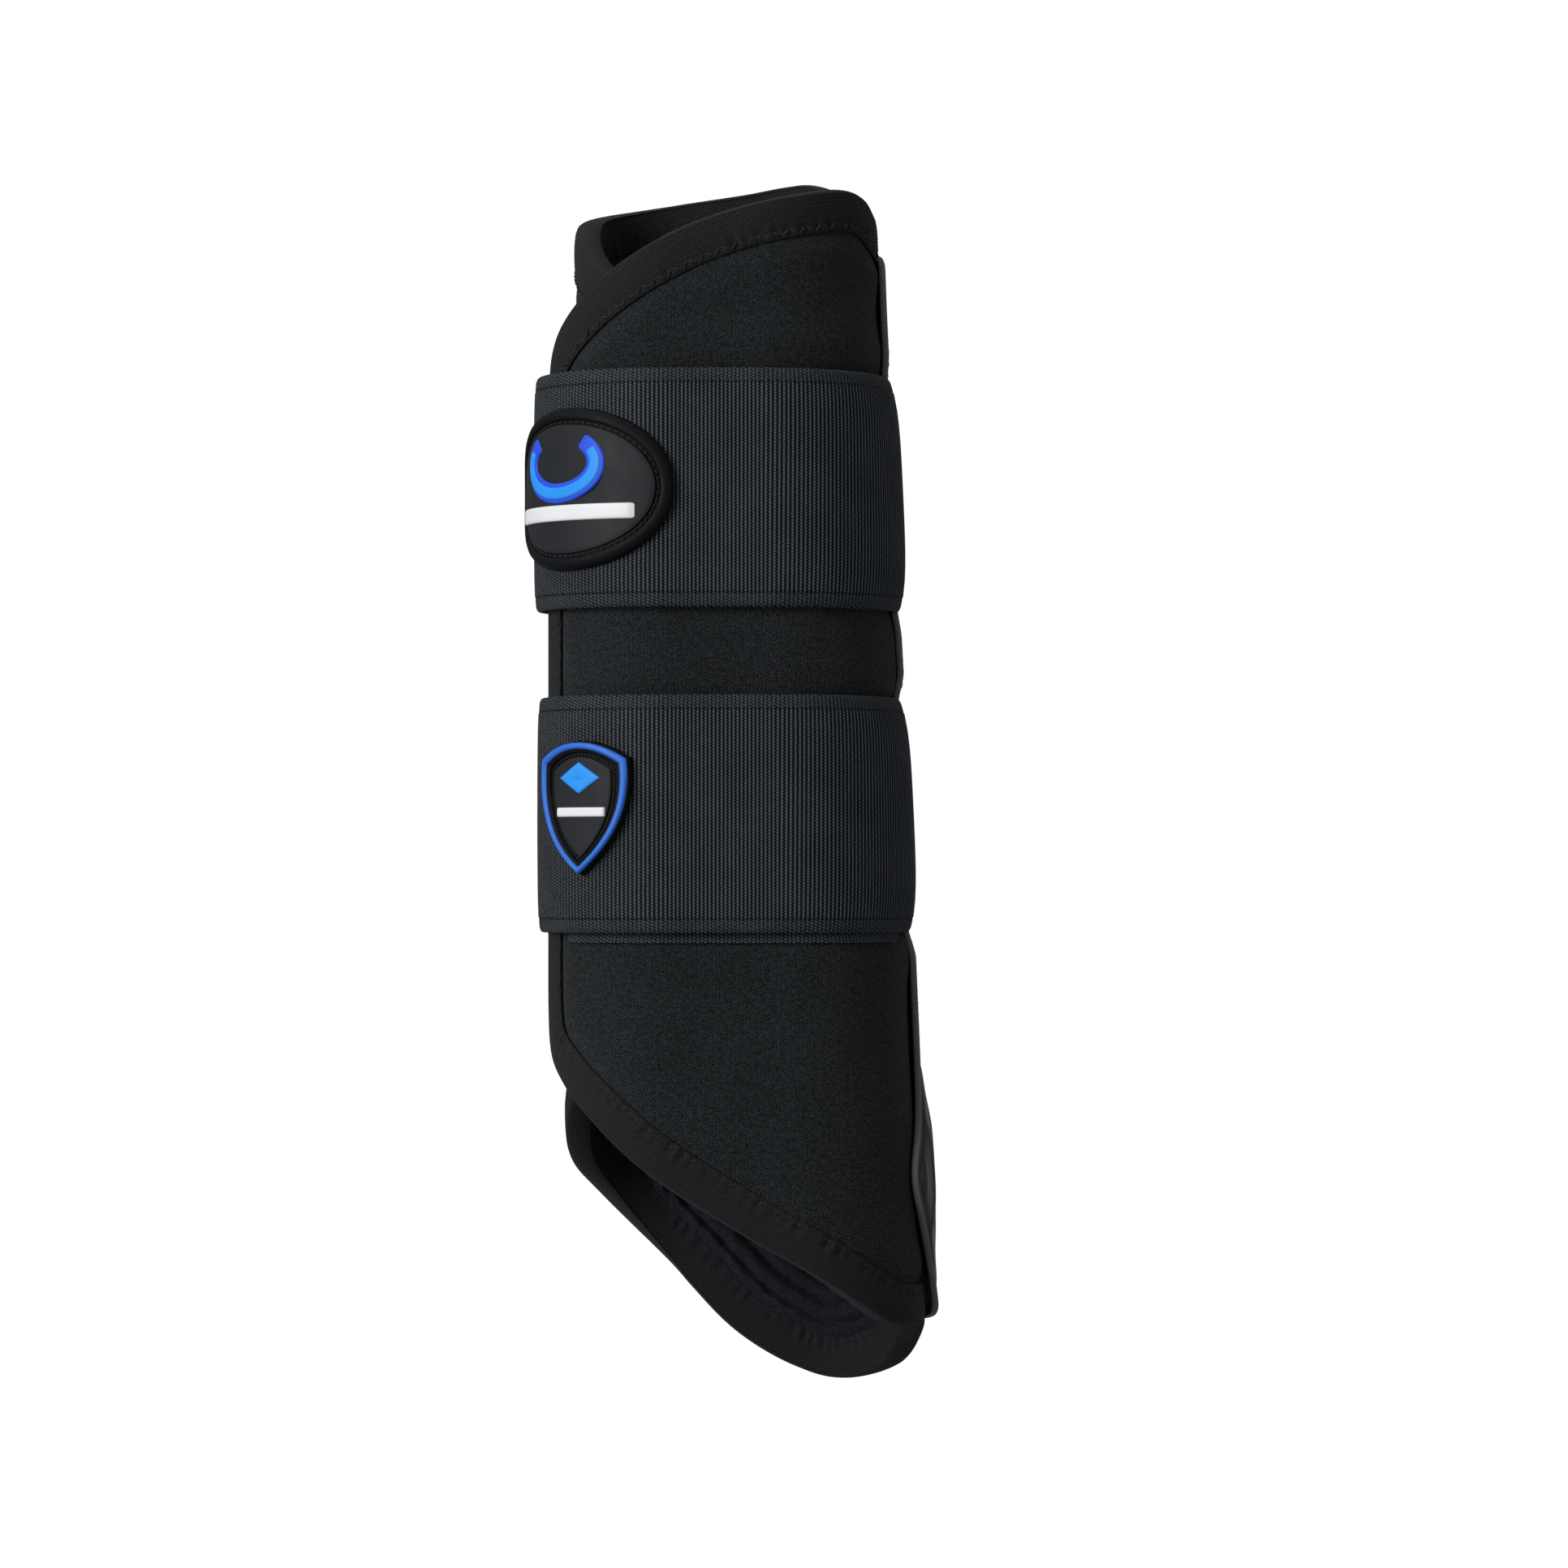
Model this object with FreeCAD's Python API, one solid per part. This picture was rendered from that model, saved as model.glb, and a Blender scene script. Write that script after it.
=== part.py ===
import FreeCAD, Part
import math
import os

# A wrap-round leg boot for a horse. Millimetres. +Z is up the leg, +X points to
# the back of the leg, -Y is the outer side of the leg. The origin is on the
# leg's axis, level with the lowest point of the boot's rim.
#
# Seen from above, the laminate is one long band that winds anticlockwise: from
# the outer flap's edge at the front, along the outer side, round the back,
# along the inner side, round the front again and in under the outer flap.

V = FreeCAD.Vector

# Plan of the band, on its outer skin.
half_width = 31.0          # half its width across the leg, and its radius at front and back
front_centre = -12.0       # X of the front curve's centre
rear_centre_low = 22.0     # X of the back curve's centre at Z = 0
rear_lean = 0.0445         # the back leans forward by this much per mm of height
laminate = 5.0             # neoprene and lining together
lining = 1.0               # soft lining inside the neoprene
tape = 0.8                 # binding tape folded over every edge
tape_width = 9.5           # how far the tape reaches in from the edge
layer_gap = 0.4            # air between two taped layers that overlap
edge_turn = 9.0            # degrees from the front line back to the outer flap's edge

# Heights and slopes of the edges. A drop is measured from the full height.
height = 310.7             # inner side's top edge
outer_top_drop = 21.7      # outer side's top edge, carried on to the front line
outer_top_slope = 0.1936   # rise of that edge per mm towards the back
outer_top_round = 53.0
outer_bottom_front = 75.4  # outer side's rim, carried on to the front line
outer_bottom_rear = 17.0
outer_bottom_round = 46.0
rim_run = 92.0             # length of the rim's slope, along X
inner_top_drop = 13.2      # inner side's top edge, on the front line
inner_corner_drop = 7.2    # and where it turns level
inner_corner_run = 8.3
inner_corner_round = 9.0
inner_level_x = 28.0
back_drop = 11.2           # top edge at the back
back_rises = (14.0, 24.0)  # of that edge towards the outer and the inner side
back_round = 30.0
tuck_drop = 42.7           # the tucked end's corners, under the outer flap
tuck_bottom = 104.0
tuck_end = 0.0
rim_front = 62.0           # inner side's rim, on the front line
rim_corner = 49.0          # where it starts to slope
rim_corner_run = 5.3
rim_corner_round = 12.0
rim_level_x = 16.0         # where that rim turns level
rim_round = 39.0
rim_low_y = 24.0           # seen from behind, the rim slopes up from here
rim_high_y = -4.0
rim_slope_round = 25.0

# Straps.
strap_width = 60.0
strap_thick = 2.0
strap_lift = 2.0           # from the outer flap's skin to the strap's back
upper_strap_bottom = 198.5
lower_strap_bottom = 116.5
strap_tip_radius = 17.5    # how tightly the tip turns round the front, on the skin
strap_tip_turn = 54.0      # degrees from the front line to the strap's tip
strap_tip_round = 9.0
landing_thick = 1.2        # ribbed band sewn on the outer flap under each strap
landing_drop = 2.4         # it shows this much below the strap
landing_run = 6.0          # from the front line to where it starts
landing_gap = 0.3          # between it and the binding tape
touch_thick = 1.2          # hook patch, and loop patch
hook_start_turn = 14.0
hook_short = 3.0           # degrees by which it stops short of the strap's tip
loop_start_turn = 14.0
loop_end_turn = 80.0
touch_margin = 3.0         # strap left bare above and below a loop patch
anchor_wrap = 52.0         # degrees of the back curve that the sewn ends cover
anchor_gap = 0.3           # air between a sewn end and the guard

# Flex lines.
outer_flex = 14.0          # X of the line where the outer flap swings open
inner_flex = -4.0          # X of the line where the inner flap swings open
strap_flex_run = 8.0       # the straps lift off this far in front of the outer flex line
anchor_run = 4.0           # and their sewn ends start this far behind it
flex_gap = 0.5             # each rigid side stops this far from its flex line

# Strike guard.
guard_thick = 2.0
guard_lift = 1.0
guard_near_turn = -2.0     # degrees past the rearmost line, towards the outer side
guard_front = 2.0          # X of its front margin on the inner side
guard_top_drop = 19.7
guard_bottom = 17.0
guard_top_slant = 14.0     # its top edge is this much lower at the front
guard_bottom_slant = 30.0  # and its lower edge this much higher
guard_top_level = 30.0     # X where the top edge turns level
guard_bottom_level = 24.0
guard_front_round = 16.0
guard_top_round = 20.0
guard_bottom_round = 14.0
pad_thick = 2.2            # moulded bulge over the fetlock
pad_rise = 9.0             # from the guard's lower edge
pad_height = 56.0
pad_turn = 62.0
rib_thick = 0.6
rib_width = 3.0
rib_margin = 5.0           # a rib stops this far inside the bulge
rib_turns = (9.0, 24.0, 39.0, 54.0)

# Badges, moulded and stitched on the straps. A run is measured back from the
# strap's front line, and a rise up from its middle line.
badge_thick = 2.6
badge_past_front = 5.0     # degrees by which a badge passes the front line
egg_run = 10.0             # the egg's centre
egg_height = 40.0
egg_open = 30.0            # how far the outline is carried on past the front line
egg_open_drop = 3.0
egg_shoulder = 6.0
egg_swell = 0.8
egg_reach = 30.0
egg_round = 20.0
egg_tip_round = 11.0
shield_runs = (2.5, 25.5)
shield_tip_run = 11.0
shield_top = 19.5
shield_top_run = 13.0
shield_shoulders = (12.5, 11.5)
shield_shoulder_round = 1.5
shield_top_round = 16.0
shield_waist = -2.5
shield_waist_insets = (1.0, 1.5)
shield_waist_round = 24.0
shield_tip = -16.0
shield_tip_round = 1.0
badge_rim = 3.2
groove_depth = 0.7
groove_width = 1.1
groove_margin = 0.3        # from the rim to the thread
relief = 0.35
shield_rim = (0.8, 2.4)    # the lower badge's coloured rim, in from its edge
shoe_run = 14.0            # horseshoe
shoe_rise = 6.0
shoe_width = 17.0
shoe_height = 15.0
shoe_bar = 4.2
lozenge_run = 14.5
lozenge_rise = 7.0
lozenge_half_width = 4.5
lozenge_half_height = 3.6
upper_bar_runs = (2.0, 27.0)
upper_bar_rises = (-10.0, -6.0)
lower_bar_runs = (9.5, 19.5)
lower_bar_rises = (-1.5, 0.9)

# Stitches.
thread = 0.5
stitch_length = 2.6
stitch_pitch = 4.0
stitch_margin = 3.0        # a row stops this far from what it meets
anchor_rows = (3.0, 12.0)  # degrees short of a sewn end's edge
guard_row_turn = 3.0

LINE = "line"
ARC = "arc"
far_out = 80.0             # half the depth of a cutting block
margin = 0.5               # a cutting block goes past what it cuts
tall = height + 10
below = -10.0

# Places that follow from the sizes.
strap_flex = outer_flex - strap_flex_run
strap_front = front_centre - half_width - strap_lift - strap_thick
upper_middle = upper_strap_bottom + strap_width / 2
lower_middle = lower_strap_bottom + strap_width / 2
guard_skin = guard_lift + guard_thick
guard_top = height - guard_top_drop
pad_bottom = guard_bottom + pad_rise
pad_top = pad_bottom + pad_height


def rear_centre(z):
    """X of the back curve's centre at height z."""
    return rear_centre_low - rear_lean * z


def lane(path, offset, z):
    """Edges and ends of a plan path, moved to its left by offset, at height z."""
    (x, y), heading, moves = path
    turn = math.radians(heading)
    here = V(x - offset * math.sin(turn), y + offset * math.cos(turn), z)
    first = here
    edges = []
    for kind, size, sweep in moves:
        if kind == LINE:
            there = here + V(math.cos(turn), math.sin(turn), 0) * size
            edges.append(Part.LineSegment(here, there).toShape())
        else:
            radius = size - offset
            centre = here + V(-math.sin(turn), math.cos(turn), 0) * radius
            half = turn + math.radians(sweep) / 2
            turn += math.radians(sweep)
            middle = centre + V(math.sin(half), -math.cos(half), 0) * radius
            there = centre + V(math.sin(turn), -math.cos(turn), 0) * radius
            edges.append(Part.Arc(here, middle, there).toShape())
        here = there
    return edges, first, here


def outline_of(path, skin, back, z):
    """Closed wire between two offsets of a plan path."""
    skin_edges, skin_first, skin_last = lane(path, skin, z)
    back_edges, back_first, back_last = lane(path, back, z)
    caps = [Part.LineSegment(skin_first, back_first).toShape(),
            Part.LineSegment(skin_last, back_last).toShape()]
    return Part.Wire(Part.__sortEdges__(skin_edges + back_edges + caps))


def ribbon(path, skin, back, low, high):
    """Upright band between two offsets of a plan path."""
    return Part.Face(outline_of(path, skin, back, low)).extrude(V(0, 0, high - low))


def leaning_ribbon(path_at, skin, back, low, high):
    """Band whose plan path changes evenly with height."""
    wires = [outline_of(path_at(z), skin, back, z) for z in (low, high)]
    return Part.makeLoft(wires, True, True)


def block(corners, near, far, inset=0):
    """Prism along Y over a side view outline of (x, z, corner radius) points, drawn in by inset."""
    count = len(corners)
    ends = []
    for index, (x, z, radius) in enumerate(corners):
        here = V(x, 0, z)
        before = V(corners[index - 1][0], 0, corners[index - 1][1]) - here
        after = V(corners[(index + 1) % count][0], 0, corners[(index + 1) % count][1]) - here
        half = before.getAngle(after) / 2
        before.normalize()
        after.normalize()
        reach = radius / math.tan(half)
        middle = (before + after).normalize()
        bulge = here + middle * (radius / math.sin(half) - radius)
        ends.append((here + before * reach, bulge, here + after * reach, radius))
    edges = []
    for index, (start, bulge, end, radius) in enumerate(ends):
        if radius > 0:
            edges.append(Part.Arc(start, bulge, end).toShape())
        edges.append(Part.LineSegment(end, ends[(index + 1) % count][0]).toShape())
    face = Part.Face(Part.Wire(Part.__sortEdges__(edges)))
    if inset > 0:
        face = face.makeOffset2D(-inset)
    face.translate(V(0, near, 0))
    return face.extrude(V(0, far - near, 0))


def across(corners):
    """Prism along X over an end view outline of (y, z, corner radius) points."""
    prism = block(corners, -far_out, far_out)
    prism.rotate(V(0, 0, 0), V(0, 0, 1), 90)
    return prism


def slab(x0, x1, y0, y1, z0, z1):
    """Box between two corners."""
    return Part.makeBox(x1 - x0, y1 - y0, z1 - z0, V(x0, y0, z0))


def tidy(shape):
    """The shape with split faces joined again, as one solid where it is one."""
    shape = shape.removeSplitter()
    if len(shape.Solids) == 1:
        return shape.Solids[0]
    return shape


# Plan paths. Anticlockwise from above, so the left of each is the leg's side.

def outer_flap_path(start_turn, rear_x):
    """From a line start_turn degrees behind the front line, back along the outer side."""
    turn = math.radians(start_turn)
    start = (front_centre - half_width * math.cos(turn), -half_width * math.sin(turn))
    moves = [(ARC, half_width, 90 - start_turn), (LINE, rear_x - front_centre, 0)]
    return start, 270 + start_turn, moves


def rear_path(near_x, far_x):
    """From the outer side round the back to the inner side, at any height."""
    def at(z):
        middle = rear_centre(z)
        moves = [(LINE, middle - near_x, 0), (ARC, half_width, 180), (LINE, middle - far_x, 0)]
        return (near_x, -half_width), 0, moves
    return at


def rear_arc_path(start_turn, end_turn, far_x):
    """Round the back between two turns past the rearmost line, then to far_x if it is given."""
    def at(z):
        turn = math.radians(start_turn)
        start = (rear_centre(z) + half_width * math.cos(turn), half_width * math.sin(turn))
        moves = [(ARC, half_width, end_turn - start_turn)]
        if far_x is not None:
            moves.append((LINE, rear_centre(z) - far_x, 0))
        return start, 90 + start_turn, moves
    return at


tuck_depth = laminate + 2 * tape + layer_gap           # outer flap's skin to the tucked skin
inner_radius = half_width - tuck_depth / 2
inner_centre = (front_centre - half_width + tuck_depth + inner_radius,
                half_width - inner_radius)


def inner_flap_path(start_x, end_turn):
    """From the inner side round the front and in under the outer flap."""
    moves = [(LINE, start_x - inner_centre[0], 0), (ARC, inner_radius, end_turn)]
    return (start_x, half_width), 180, moves


def inner_arc_path(start_turn, end_turn):
    """Part of the inner flap's curve, by degrees round from the front line."""
    turn = math.radians(end_turn)
    start = (inner_centre[0] - inner_radius * math.cos(turn),
             inner_centre[1] + inner_radius * math.sin(turn))
    return start, 270 - end_turn, [(ARC, inner_radius, end_turn - start_turn)]


def strap_path(tip_turn, start_turn, rear_x):
    """From the strap's tip round the front, then back along the outer side."""
    centre = front_centre - half_width + strap_tip_radius
    turn = math.radians(tip_turn)
    start = (centre - strap_tip_radius * math.cos(turn), strap_tip_radius * math.sin(turn))
    moves = [(ARC, strap_tip_radius, tip_turn - start_turn)]
    if rear_x is not None:
        moves += [(ARC, half_width, 90), (LINE, rear_x - front_centre, 0)]
    return start, 270 - tip_turn, moves


# Side view outlines. Each can be drawn in from the edge by an inset.

front_limit = front_centre - half_width - tape - margin
inner_front = inner_centre[0] - inner_radius - tape - margin
rear_limit = rear_centre_low + half_width + 37
side_limit = half_width + 29


def outer_side(inset):
    """Outline of the outer side of the boot."""
    slope = math.atan2(outer_bottom_front - outer_bottom_rear, rim_run)
    steep = inset / math.cos(slope)
    top = height - outer_top_drop - inset
    return block([(front_limit, top, outer_top_round),
                  (rear_limit, top + outer_top_slope * (rear_limit - front_limit), 0.0),
                  (rear_limit, below, 0.0),
                  (front_limit + rim_run, below, 0.0),
                  (front_limit + rim_run, outer_bottom_rear + steep, 0.0),
                  (front_limit, outer_bottom_front + steep, outer_bottom_round)],
                 -far_out, 0)


def inner_side(inset):
    """Outline of the inner side, whose rim hangs lower."""
    slant = inset * math.sqrt(2)
    return block([(inner_front, height - inner_top_drop - inset, 0.0),
                  (inner_front + inner_corner_run, height - inner_corner_drop - inset, inner_corner_round),
                  (inner_level_x, height - inset, 0.0),
                  (rear_limit, height - inset, 0.0),
                  (rear_limit, inset, 0.0),
                  (rim_level_x, inset, rim_round),
                  (inner_front + rim_corner_run, rim_corner + slant, rim_corner_round),
                  (inner_front, rim_front + slant, 0.0)],
                 0, far_out)


def rear_side(inset):
    """Outline seen from behind, which leads the outer rim down to the inner one."""
    top = height - back_drop - inset
    return across([(-side_limit, top + back_rises[0], 0.0),
                   (0.0, top, back_round),
                   (side_limit, top + back_rises[1], 0.0),
                   (side_limit, inset, 0.0),
                   (rim_low_y, inset, rim_slope_round),
                   (rim_high_y, outer_bottom_rear + inset, rim_slope_round),
                   (-side_limit, outer_bottom_rear + inset, 0.0)])


def tucked_side(inset):
    """Outline of the inner flap's end, where it lies under the outer flap."""
    slant = inset * math.sqrt(2)
    return block([(inner_front, height - inner_top_drop - inset, 0.0),
                  (tuck_end, height - tuck_drop - slant, 0.0),
                  (tuck_end, tuck_bottom + slant, 0.0),
                  (inner_front, rim_front + slant, 0.0)],
                 -far_out, 0)


def joined(shapes):
    """Shapes fused into one."""
    whole = shapes[0]
    for shape in shapes[1:]:
        whole = whole.fuse(shape)
    return whole


def trimmed(band, sides):
    """A band cut to its side view outlines and joined into one solid."""
    return tidy(joined([band.common(side) for side in sides]))


def taped_panel(band_between, sides_at, keep):
    """Neoprene, lining and binding tape of one panel.

    band_between(skin, back, trim) is the band between two offsets, with its free
    upright end drawn in by trim. keep is the room the panel may fill.
    """
    foam = trimmed(band_between(0, laminate - lining, tape), sides_at(tape)).common(keep)
    inside = trimmed(band_between(laminate - lining, laminate, tape), sides_at(tape)).common(keep)
    sleeve = trimmed(band_between(-tape, laminate + tape, 0), sides_at(0)).common(keep)
    opening = trimmed(band_between(-2 * tape, laminate + 2 * tape, tape_width), sides_at(tape_width))
    core = trimmed(band_between(0, laminate, tape), sides_at(tape))
    binding = sleeve.cut(opening).cut(core)
    return tidy(foam), tidy(inside), tidy(binding)


# Outer flap.

def outer_flap_band(skin, back, trim):
    """Outer flap's band, with its front edge drawn in by trim."""
    turn = edge_turn + math.degrees(trim / half_width)
    return ribbon(outer_flap_path(turn, outer_flex - flex_gap), skin, back, below, tall)


def outer_flap():
    """Panel that closes over the front of the leg."""
    everywhere = slab(-far_out, outer_flex - flex_gap, -far_out, 0, below, tall)
    foam, inside, binding = taped_panel(outer_flap_band, lambda inset: [outer_side(inset)], everywhere)
    return {"outer_flap_neoprene": foam, "outer_flap_lining": inside, "outer_flap_binding": binding}


def landing_band(bottom):
    """Ribbed band that a strap lies on, sewn to the outer flap."""
    low = bottom - landing_drop
    path = outer_flap_path(0, strap_flex - flex_gap)
    band = ribbon(path, -landing_thick, 0, low, low + strap_width)
    front = front_centre - half_width + landing_run
    inside_tape = outer_side(tape_width + landing_gap)
    return tidy(band.common(slab(front, outer_flex, -far_out, 0, below, tall)).common(inside_tape))


# Back of the boot.

def rear_band(skin, back, trim):
    """Band round the back; both of its upright ends are flex lines."""
    return leaning_ribbon(rear_path(0, inner_flex + flex_gap), skin, back, below, tall)


def rear():
    """Panel that stays round the back and the inner side of the leg."""
    outer_half = slab(outer_flex + flex_gap, rear_limit, -far_out, 0, below, tall)
    inner_half = slab(inner_flex + flex_gap, rear_limit, 0, far_out, below, tall)

    def sides(inset):
        end_view = rear_side(inset)
        return outer_side(inset).common(end_view), inner_side(inset).common(end_view)
    foam, inside, binding = taped_panel(rear_band, sides, outer_half.fuse(inner_half))
    parts = {"rear_panel_neoprene": foam, "rear_panel_lining": inside}
    for solid in binding.Solids:
        name = "rear_top_binding" if solid.CenterOfMass.z > tall / 2 else "rear_rim_binding"
        parts[name] = solid
    return parts


def guard():
    """Tough sheet over the inner side and the back, with a moulded bulge at the fetlock."""
    sheet = leaning_ribbon(rear_arc_path(guard_near_turn, 90, guard_front - 10 * margin),
                           -guard_skin, -guard_lift, below, tall)
    outline = block([(guard_front, guard_top - guard_top_slant, guard_front_round),
                     (guard_top_level, guard_top, guard_top_round),
                     (rear_limit, guard_top, 0.0),
                     (rear_limit, guard_bottom, 0.0),
                     (guard_bottom_level, guard_bottom, guard_bottom_round),
                     (guard_front, guard_bottom + guard_bottom_slant, guard_front_round)],
                    -far_out, far_out)
    pad_skin = guard_skin + pad_thick
    bulge = leaning_ribbon(rear_arc_path(guard_near_turn, pad_turn, None),
                           -pad_skin, -guard_skin, pad_bottom, pad_top)
    half = math.degrees(rib_width / 2 / (half_width + pad_skin))
    ribs = [leaning_ribbon(rear_arc_path(turn - half, turn + half, None), -pad_skin - rib_thick,
                           -pad_skin, pad_bottom + rib_margin, pad_top - rib_margin)
            for turn in rib_turns]
    return {"strike_guard": tidy(sheet.common(outline)), "fetlock_bulge": tidy(bulge),
            "fetlock_ribs": Part.makeCompound(ribs)}


def anchor(bottom):
    """Sewn end of a strap, wrapped over the guard's edge at the back."""
    lift = guard_skin + anchor_gap
    path = rear_path(0, 0)

    def at(z):
        start, heading, moves = path(z)
        return start, heading, [moves[0], (ARC, half_width, 90 + anchor_wrap)]
    band = leaning_ribbon(at, -lift - strap_thick, -lift, bottom, bottom + strap_width)
    behind = slab(outer_flex + anchor_run, rear_limit, -far_out, far_out, below, tall)
    return tidy(band.common(behind))


# Inner flap.

def inner_flap_band(skin, back, trim):
    """Inner flap's band, with its tucked end drawn in by trim."""
    turn = 180 - math.degrees(trim / inner_radius)
    return ribbon(inner_flap_path(inner_flex - flex_gap, turn), skin, back, below, tall)


def inner_flap():
    """Panel that goes round the front of the leg first."""
    everywhere = slab(-far_out, rear_limit, -far_out, far_out, below, tall)
    foam, inside, binding = taped_panel(
        inner_flap_band, lambda inset: (inner_side(inset), tucked_side(inset)), everywhere)
    return {"inner_flap_neoprene": foam, "inner_flap_lining": inside, "inner_flap_binding": binding}


def loop_patch(bottom):
    """Loop pile sewn on the inner flap, where a strap's tip takes hold."""
    path = inner_arc_path(loop_start_turn, loop_end_turn)
    return ribbon(path, -touch_thick, 0, bottom + touch_margin, bottom + strap_width - touch_margin)


# Straps and badges.

def strap_tip_mask(bottom, width, tip_y, corner):
    """Room for a strap: everything up to the front line, then a round-cornered tip."""
    body = slab(-far_out, far_out, -far_out, 0, bottom, bottom + width)
    tip = slab(-far_out, 0, -1, tip_y, bottom, bottom + width)
    edges = [edge for edge in tip.Edges
             if edge.BoundBox.YMin > tip_y - margin and edge.BoundBox.XLength > margin]
    return body.fuse(tip.makeFillet(corner, edges))


def strap(bottom):
    """Elastic strap, from its flex line to its tip on the inner flap."""
    path = strap_path(strap_tip_turn, 0, strap_flex - flex_gap)
    band = ribbon(path, -strap_lift - strap_thick, -strap_lift, bottom, bottom + strap_width)
    tip_y = (strap_tip_radius + strap_lift) * math.sin(math.radians(strap_tip_turn))
    return tidy(band.common(strap_tip_mask(bottom, strap_width, tip_y + 1, strap_tip_round)))


def hook_patch(bottom):
    """Hook pile sewn behind a strap's tip."""
    path = strap_path(strap_tip_turn - hook_short, hook_start_turn, None)
    inside = touch_margin + 1
    return ribbon(path, -strap_lift, touch_thick - strap_lift, bottom + inside,
                  bottom + strap_width - inside)


badge_skin = -strap_lift - strap_thick


def on_badge(side_view, low, high):
    """The part of the space low to high above a strap that a side view outline covers."""
    path = strap_path(badge_past_front, 0, strap_flex - 4 * strap_thick)
    band = ribbon(path, badge_skin - high, badge_skin - low, below, tall)
    return band.common(side_view)


def egg(inset):
    """Egg outline that runs off round the front, its narrow end towards the back."""
    x = strap_front + egg_run
    half = egg_height / 2
    return block([(x - egg_open, upper_middle - half + egg_open_drop, 0),
                  (x - egg_open, upper_middle + half - egg_open_drop, 0),
                  (x + egg_shoulder, upper_middle + half + egg_swell, egg_round),
                  (x + egg_reach, upper_middle, egg_tip_round),
                  (x + egg_shoulder, upper_middle - half - egg_swell, egg_round)],
                 -far_out, far_out, inset)


def shield(inset):
    """Shield outline, with a point at the bottom."""
    left, right = (strap_front + run for run in shield_runs)
    return block([(left, lower_middle + shield_shoulders[0], shield_shoulder_round),
                  (strap_front + shield_top_run, lower_middle + shield_top, shield_top_round),
                  (right, lower_middle + shield_shoulders[1], shield_shoulder_round),
                  (right - shield_waist_insets[1], lower_middle + shield_waist, shield_waist_round),
                  (strap_front + shield_tip_run, lower_middle + shield_tip, shield_tip_round),
                  (left + shield_waist_insets[0], lower_middle + shield_waist, shield_waist_round)],
                 -far_out, far_out, inset)


def badge(outline):
    """Moulded badge with a stitching groove just inside its rim."""
    body = on_badge(outline(0), 0, badge_thick)
    ring = outline(badge_rim).cut(outline(badge_rim + groove_width))
    return tidy(body.cut(on_badge(ring, badge_thick - groove_depth, badge_thick + 1)))


def badge_stitches(outline):
    """Thread lying in a badge's groove."""
    inside = badge_rim + groove_margin
    ring = outline(inside).cut(outline(inside + thread))
    return on_badge(ring, badge_thick - groove_depth, badge_thick - groove_depth + thread)


def raised(side_view):
    """Coloured relief moulded on a badge's face."""
    return tidy(on_badge(side_view, badge_thick, badge_thick + relief))


def bar(runs, middle, rises):
    """Side view rectangle."""
    x0, x1 = (strap_front + run for run in runs)
    low, high = (middle + rise for rise in rises)
    return slab(x0, x1, -far_out, far_out, low, high)


def horseshoe(x, z, width, tall_way, bar_width):
    """Horseshoe outline with its open end up."""
    def arch(half, high, low):
        bend = half - thread / 5
        return block([(x - half, high, 0), (x + half, high, 0), (x + half, low, bend), (x - half, low, bend)],
                     -far_out, far_out)
    low = z - tall_way / 2
    whole = arch(width / 2, low + tall_way, low)
    opening = arch(width / 2 - bar_width, z + tall_way, low + bar_width)
    return whole.cut(opening)


def lozenge(x, z, half_width, half_height):
    """Diamond outline."""
    return block([(x - half_width, z, 0), (x, z + half_height, 0),
                  (x + half_width, z, 0), (x, z - half_height, 0)], -far_out, far_out)


def stitch_row(start_turn, skin, low, high):
    """Upright row of stitches at one turn of the back curve."""
    half = math.degrees(thread / 2 / half_width)
    line = leaning_ribbon(rear_arc_path(start_turn - half, start_turn + half, None),
                          -skin - thread / 2, -skin, low, high)
    count = int((high - low) // stitch_pitch)
    return [line.common(slab(-far_out, far_out, -far_out, far_out, z, z + stitch_length))
            for z in (low + stitch_pitch * (index + 0.2) for index in range(count))]


def guard_stitches():
    """Rows of stitches down the guard's edge, between the straps."""
    spans = [(pad_top + stitch_margin, lower_strap_bottom - stitch_margin),
             (lower_strap_bottom + strap_width + stitch_margin, upper_strap_bottom - stitch_margin),
             (upper_strap_bottom + strap_width + stitch_margin, guard_top - stitch_margin)]
    rows = [stitch_row(guard_row_turn, guard_skin, low, high) for low, high in spans]
    return Part.makeCompound(sum(rows, []))


def anchor_stitches(bottom):
    """Rows of stitches near the edge of a strap's sewn end."""
    skin = guard_skin + anchor_gap + strap_thick
    rows = [stitch_row(anchor_wrap - short, skin, bottom + stitch_margin,
                       bottom + strap_width - stitch_margin) for short in anchor_rows]
    return Part.makeCompound(sum(rows, []))


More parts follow.
